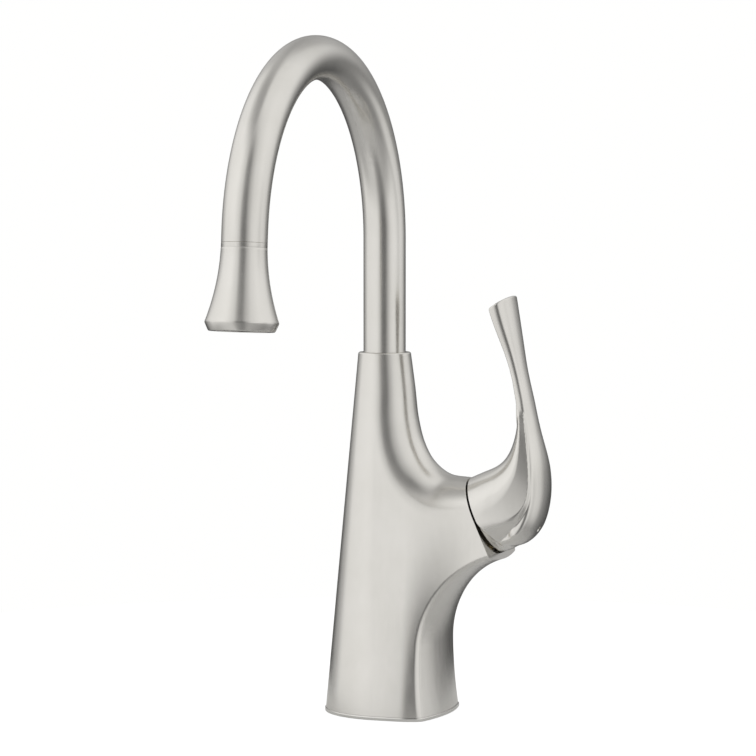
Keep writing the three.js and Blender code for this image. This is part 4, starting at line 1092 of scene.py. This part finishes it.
SLOT_MATERIALS = {
    "satin_nickel": metal(
        "satin nickel", (0.70, 0.685, 0.65), (0.735, 0.72, 0.69), roughness=(0.2, 0.26),
        stretch=(1, 1, 0.25), scale=1400),
    "trim_nickel": metal(
        "polished nickel", (0.74, 0.73, 0.70), (0.79, 0.78, 0.76), roughness=(0.12, 0.2),
        stretch=(1, 1, 0.3)),
    "brass": metal(
        "machined brass", (0.66, 0.50, 0.24), (0.76, 0.60, 0.32), roughness=(0.24, 0.38),
        stretch=(1, 1, 6), scale=500, depth=0.00003, strength=0.3),
    "stainless": metal(
        "stainless steel", (0.58, 0.58, 0.57), (0.67, 0.67, 0.66), roughness=(0.24, 0.36),
        stretch=(1, 1, 5), scale=600, depth=0.00002, strength=0.25),
    "ceramic": plastic(
        "ceramic", (0.82, 0.81, 0.77), (0.90, 0.89, 0.86), roughness=(0.12, 0.22),
        scale=700, depth=0.000005, strength=0.1),
    "black_rubber": plastic(
        "black rubber", (0.012, 0.012, 0.013), (0.03, 0.03, 0.031), roughness=(0.6, 0.8),
        scale=900, depth=0.00004, strength=0.35, sheen=0.15),
    # On the bonnet this dark colour is partly painted shade for the gap under the handle.
    "dark_plastic": plastic(
        "dark plastic and painted gap shade", (0.055, 0.052, 0.048), (0.08, 0.077, 0.072), roughness=(0.35, 0.5),
        scale=700),
    "white_plastic": plastic(
        "white plastic", (0.66, 0.65, 0.61), (0.73, 0.72, 0.69), roughness=(0.38, 0.52),
        scale=500),
}


def dress(thing, material):
    thing.data.materials.clear()
    thing.data.materials.append(material)


node_slots = {part["node"]: part["material_slot"] for part in frame["record"]["subparts"]}
for node, thing in frame["nodes"].items():
    dress(thing, SLOT_MATERIALS[node_slots[node]])

for piece, node, body in (
    (body_shell(), "body_shell", "base"),
    (trim_ring(), "base_trim_ring", "base"),
    (bonnet(), "bonnet", "base"),
    (spout_tube(), "spout_tube", "spout"),
    (outlet_bell(), "outlet_bell", "spout"),
    (lever_handle(), "lever_handle", "handle"),
):
    dress(piece, SLOT_MATERIALS[node_slots[node]])
    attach(piece, body)
    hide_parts(node)

# --- Floor, light and camera -----------------------------------

CAMERA_TURN = math.radians(21)
CAMERA_TILT = math.radians(3.91)
CAMERA_DISTANCE = 1.8
CAMERA_HEIGHT = 0.2992
CAMERA_CLIP_END = 20
SENSOR_WIDTH = 36
FOCAL_PIXELS = 3429
IMAGE = 756
AXIS_OFFSET = 6.62
FLOOR_RADIUS = 450.0
FLOOR_FOOT, FLOOR_TOP = -4, -0.2
FLOOR_FADE_START = 50.0
FLOOR_FADE_END = 260.0
BACKDROP_SHADE = 0.3
BACKDROP_GLOW = 0.88
WARM = (0.995, 0.985)


def studio_floor():
    """A disc seen by the camera as white backdrop under the part's soft shadow, and mirrored in
    the part as a pale floor that fades away around its foot."""
    floor = outward(add_mesh("floor", *rod(FLOOR_RADIUS, FLOOR_FOOT, FLOOR_TOP)))
    material, nodes, links, shader = new_material("pale floor")
    set_inputs(shader, {"Roughness": 0.9, "Specular IOR Level": 0.1})
    cloud = noise(nodes, links, scale=6)
    pale = tinted(nodes, links, cloud, (0.78, 0.78, 0.775), (0.82, 0.82, 0.815))
    links.new(pale, shader.inputs["Base Color"])
    place = nodes.new("ShaderNodeTexCoord")
    reach = nodes.new("ShaderNodeVectorMath")
    reach.operation = "LENGTH"
    links.new(place.outputs["Object"], reach.inputs[0])
    fade = set_inputs(nodes.new("ShaderNodeMapRange"),
                      {"From Min": FLOOR_FADE_START * MM, "From Max": FLOOR_FADE_END * MM})
    fade.interpolation_type = "SMOOTHSTEP"
    links.new(reach.outputs["Value"], fade.inputs["Value"])
    open_air = nodes.new("ShaderNodeBsdfTransparent")
    faded = nodes.new("ShaderNodeMixShader")
    links.new(fade.outputs[0], faded.inputs[0])
    links.new(shader.outputs[0], faded.inputs[1])
    links.new(open_air.outputs[0], faded.inputs[2])
    backdrop = set_inputs(nodes.new("ShaderNodeBsdfPrincipled"), {
        "Base Color": (BACKDROP_SHADE, BACKDROP_SHADE, BACKDROP_SHADE, 1),
        "Roughness": 0.9,
        "Specular IOR Level": 0.0,
        "Emission Color": (1, 1, 1, 1),
        "Emission Strength": BACKDROP_GLOW,
    })
    light_path = nodes.new("ShaderNodeLightPath")
    choice = nodes.new("ShaderNodeMixShader")
    links.new(light_path.outputs["Is Camera Ray"], choice.inputs[0])
    links.new(faded.outputs[0], choice.inputs[1])
    links.new(backdrop.outputs[0], choice.inputs[2])
    links.new(choice.outputs[0], nodes["Material Output"].inputs[0])
    dress(floor, material)


# Light from around the part, as (degrees to the right of the camera, level), and the spans of
# elevation in degrees over which each band of it gives way to the one above.
GROUND = [
    (-180, 0.4), (-100, 0.5), (-60, 0.72), (-36, 0.75), (-14, 0.34), (3, 0.24), (28, 0.5),
    (60, 0.42), (90, 0.3), (130, 0.24), (180, 0.35),
]
LOW_WALLS = [
    (-180, 0.07), (-154, 0.1), (-128, 0.45), (-106, 0.95), (-40, 1.0), (-26, 0.75), (-13, 0.18),
    (5, 0.16), (18, 0.55), (32, 0.88), (50, 0.98), (66, 0.92), (80, 0.7), (94, 0.88),
    (112, 0.76), (130, 0.25), (154, 0.08), (180, 0.07),
]
UPPER_WALLS = [
    (-180, 0.42), (-160, 0.58), (-143, 0.92), (-128, 1.0), (-60, 1.1), (-30, 0.88), (-10, 0.3),
    (2, 0.22), (20, 0.62), (40, 0.88), (70, 1.0), (115, 0.97), (135, 0.8), (154, 0.5),
    (180, 0.42),
]
CEILING = [
    (-180, 0.55), (-130, 0.45), (-30, 0.4), (0, 0.75), (22, 0.9), (60, 0.95), (140, 0.92),
    (165, 0.75), (180, 0.55),
]
LOW_WALLS_SPAN = (-40, -18)
UPPER_WALLS_SPAN = (-8, 24)
CEILING_SPAN = (45, 76)


def studio_world():
    """White backdrop for the camera. The metal mirrors broad soft panels instead, with a dark gap
    before the part and another behind it."""
    world = bpy.data.worlds.new("studio")
    bpy.context.scene.world = world
    world.use_nodes = True
    nodes, links = world.node_tree.nodes, world.node_tree.links
    nodes.clear()
    place = nodes.new("ShaderNodeTexCoord")
    turned_place = nodes.new("ShaderNodeVectorRotate")
    turned_place.rotation_type = "Z_AXIS"
    turned_place.inputs["Angle"].default_value = -CAMERA_TURN
    links.new(place.outputs["Generated"], turned_place.inputs["Vector"])
    split = nodes.new("ShaderNodeSeparateXYZ")
    links.new(turned_place.outputs[0], split.inputs[0])
    flip = nodes.new("ShaderNodeMath")
    flip.operation = "MULTIPLY"
    flip.inputs[1].default_value = -1
    links.new(split.outputs["Y"], flip.inputs[0])
    azimuth = nodes.new("ShaderNodeMath")
    azimuth.operation = "ARCTAN2"
    links.new(split.outputs["X"], azimuth.inputs[0])
    links.new(flip.outputs[0], azimuth.inputs[1])
    share = set_inputs(nodes.new("ShaderNodeMapRange"),
                       {"From Min": -math.pi, "From Max": math.pi})
    links.new(azimuth.outputs[0], share.inputs["Value"])

    def band(stops):
        """The light around one band of elevation."""
        ramp = nodes.new("ShaderNodeValToRGB")
        ramp.color_ramp.interpolation = "EASE"
        elements = ramp.color_ramp.elements
        for angle, level in stops[1:-1]:
            elements.new((angle + 180) / 360)
        for element, (angle, level) in zip(elements, stops):
            element.color = (level, level * WARM[0], level * WARM[1], 1)
        links.new(share.outputs[0], ramp.inputs[0])
        return ramp.outputs[0]

    def raised(lower, upper, span):
        """One band under another."""
        start, end = (math.sin(math.radians(degrees)) for degrees in span)
        height = set_inputs(nodes.new("ShaderNodeMapRange"), {"From Min": start, "From Max": end})
        height.interpolation_type = "SMOOTHSTEP"
        links.new(split.outputs["Z"], height.inputs["Value"])
        blend = nodes.new("ShaderNodeMix")
        blend.data_type = "RGBA"
        links.new(height.outputs[0], blend.inputs["Factor"])
        links.new(lower, blend.inputs["A"])
        links.new(upper, blend.inputs["B"])
        return blend.outputs["Result"]

    low_walls = raised(band(GROUND), band(LOW_WALLS), LOW_WALLS_SPAN)
    walls = raised(low_walls, band(UPPER_WALLS), UPPER_WALLS_SPAN)
    panels = nodes.new("ShaderNodeBackground")
    links.new(raised(walls, band(CEILING), CEILING_SPAN), panels.inputs["Color"])
    white = nodes.new("ShaderNodeBackground")
    white.inputs["Color"].default_value = (1, 1, 0.995, 1)
    light_path = nodes.new("ShaderNodeLightPath")
    choice = nodes.new("ShaderNodeMixShader")
    links.new(light_path.outputs["Is Camera Ray"], choice.inputs[0])
    links.new(panels.outputs[0], choice.inputs[1])
    links.new(white.outputs[0], choice.inputs[2])
    output = nodes.new("ShaderNodeOutputWorld")
    links.new(choice.outputs[0], output.inputs[0])


def studio_camera():
    data = bpy.data.cameras.new("camera")
    camera = bpy.data.objects.new("camera", data)
    bpy.context.scene.collection.objects.link(camera)
    camera.location = (
        CAMERA_DISTANCE * math.sin(CAMERA_TURN),
        -CAMERA_DISTANCE * math.cos(CAMERA_TURN),
        CAMERA_HEIGHT,
    )
    look = Vector((
        -math.sin(CAMERA_TURN) * math.cos(CAMERA_TILT),
        math.cos(CAMERA_TURN) * math.cos(CAMERA_TILT),
        -math.sin(CAMERA_TILT),
    ))
    camera.rotation_euler = look.to_track_quat("-Z", "Y").to_euler()
    data.sensor_width = SENSOR_WIDTH
    data.lens = FOCAL_PIXELS / IMAGE * data.sensor_width
    data.shift_x = -AXIS_OFFSET / IMAGE
    data.clip_end = CAMERA_CLIP_END
    bpy.context.scene.camera = camera


studio_floor()
studio_world()
studio_camera()
bpy.context.scene.view_settings.view_transform = "Standard"
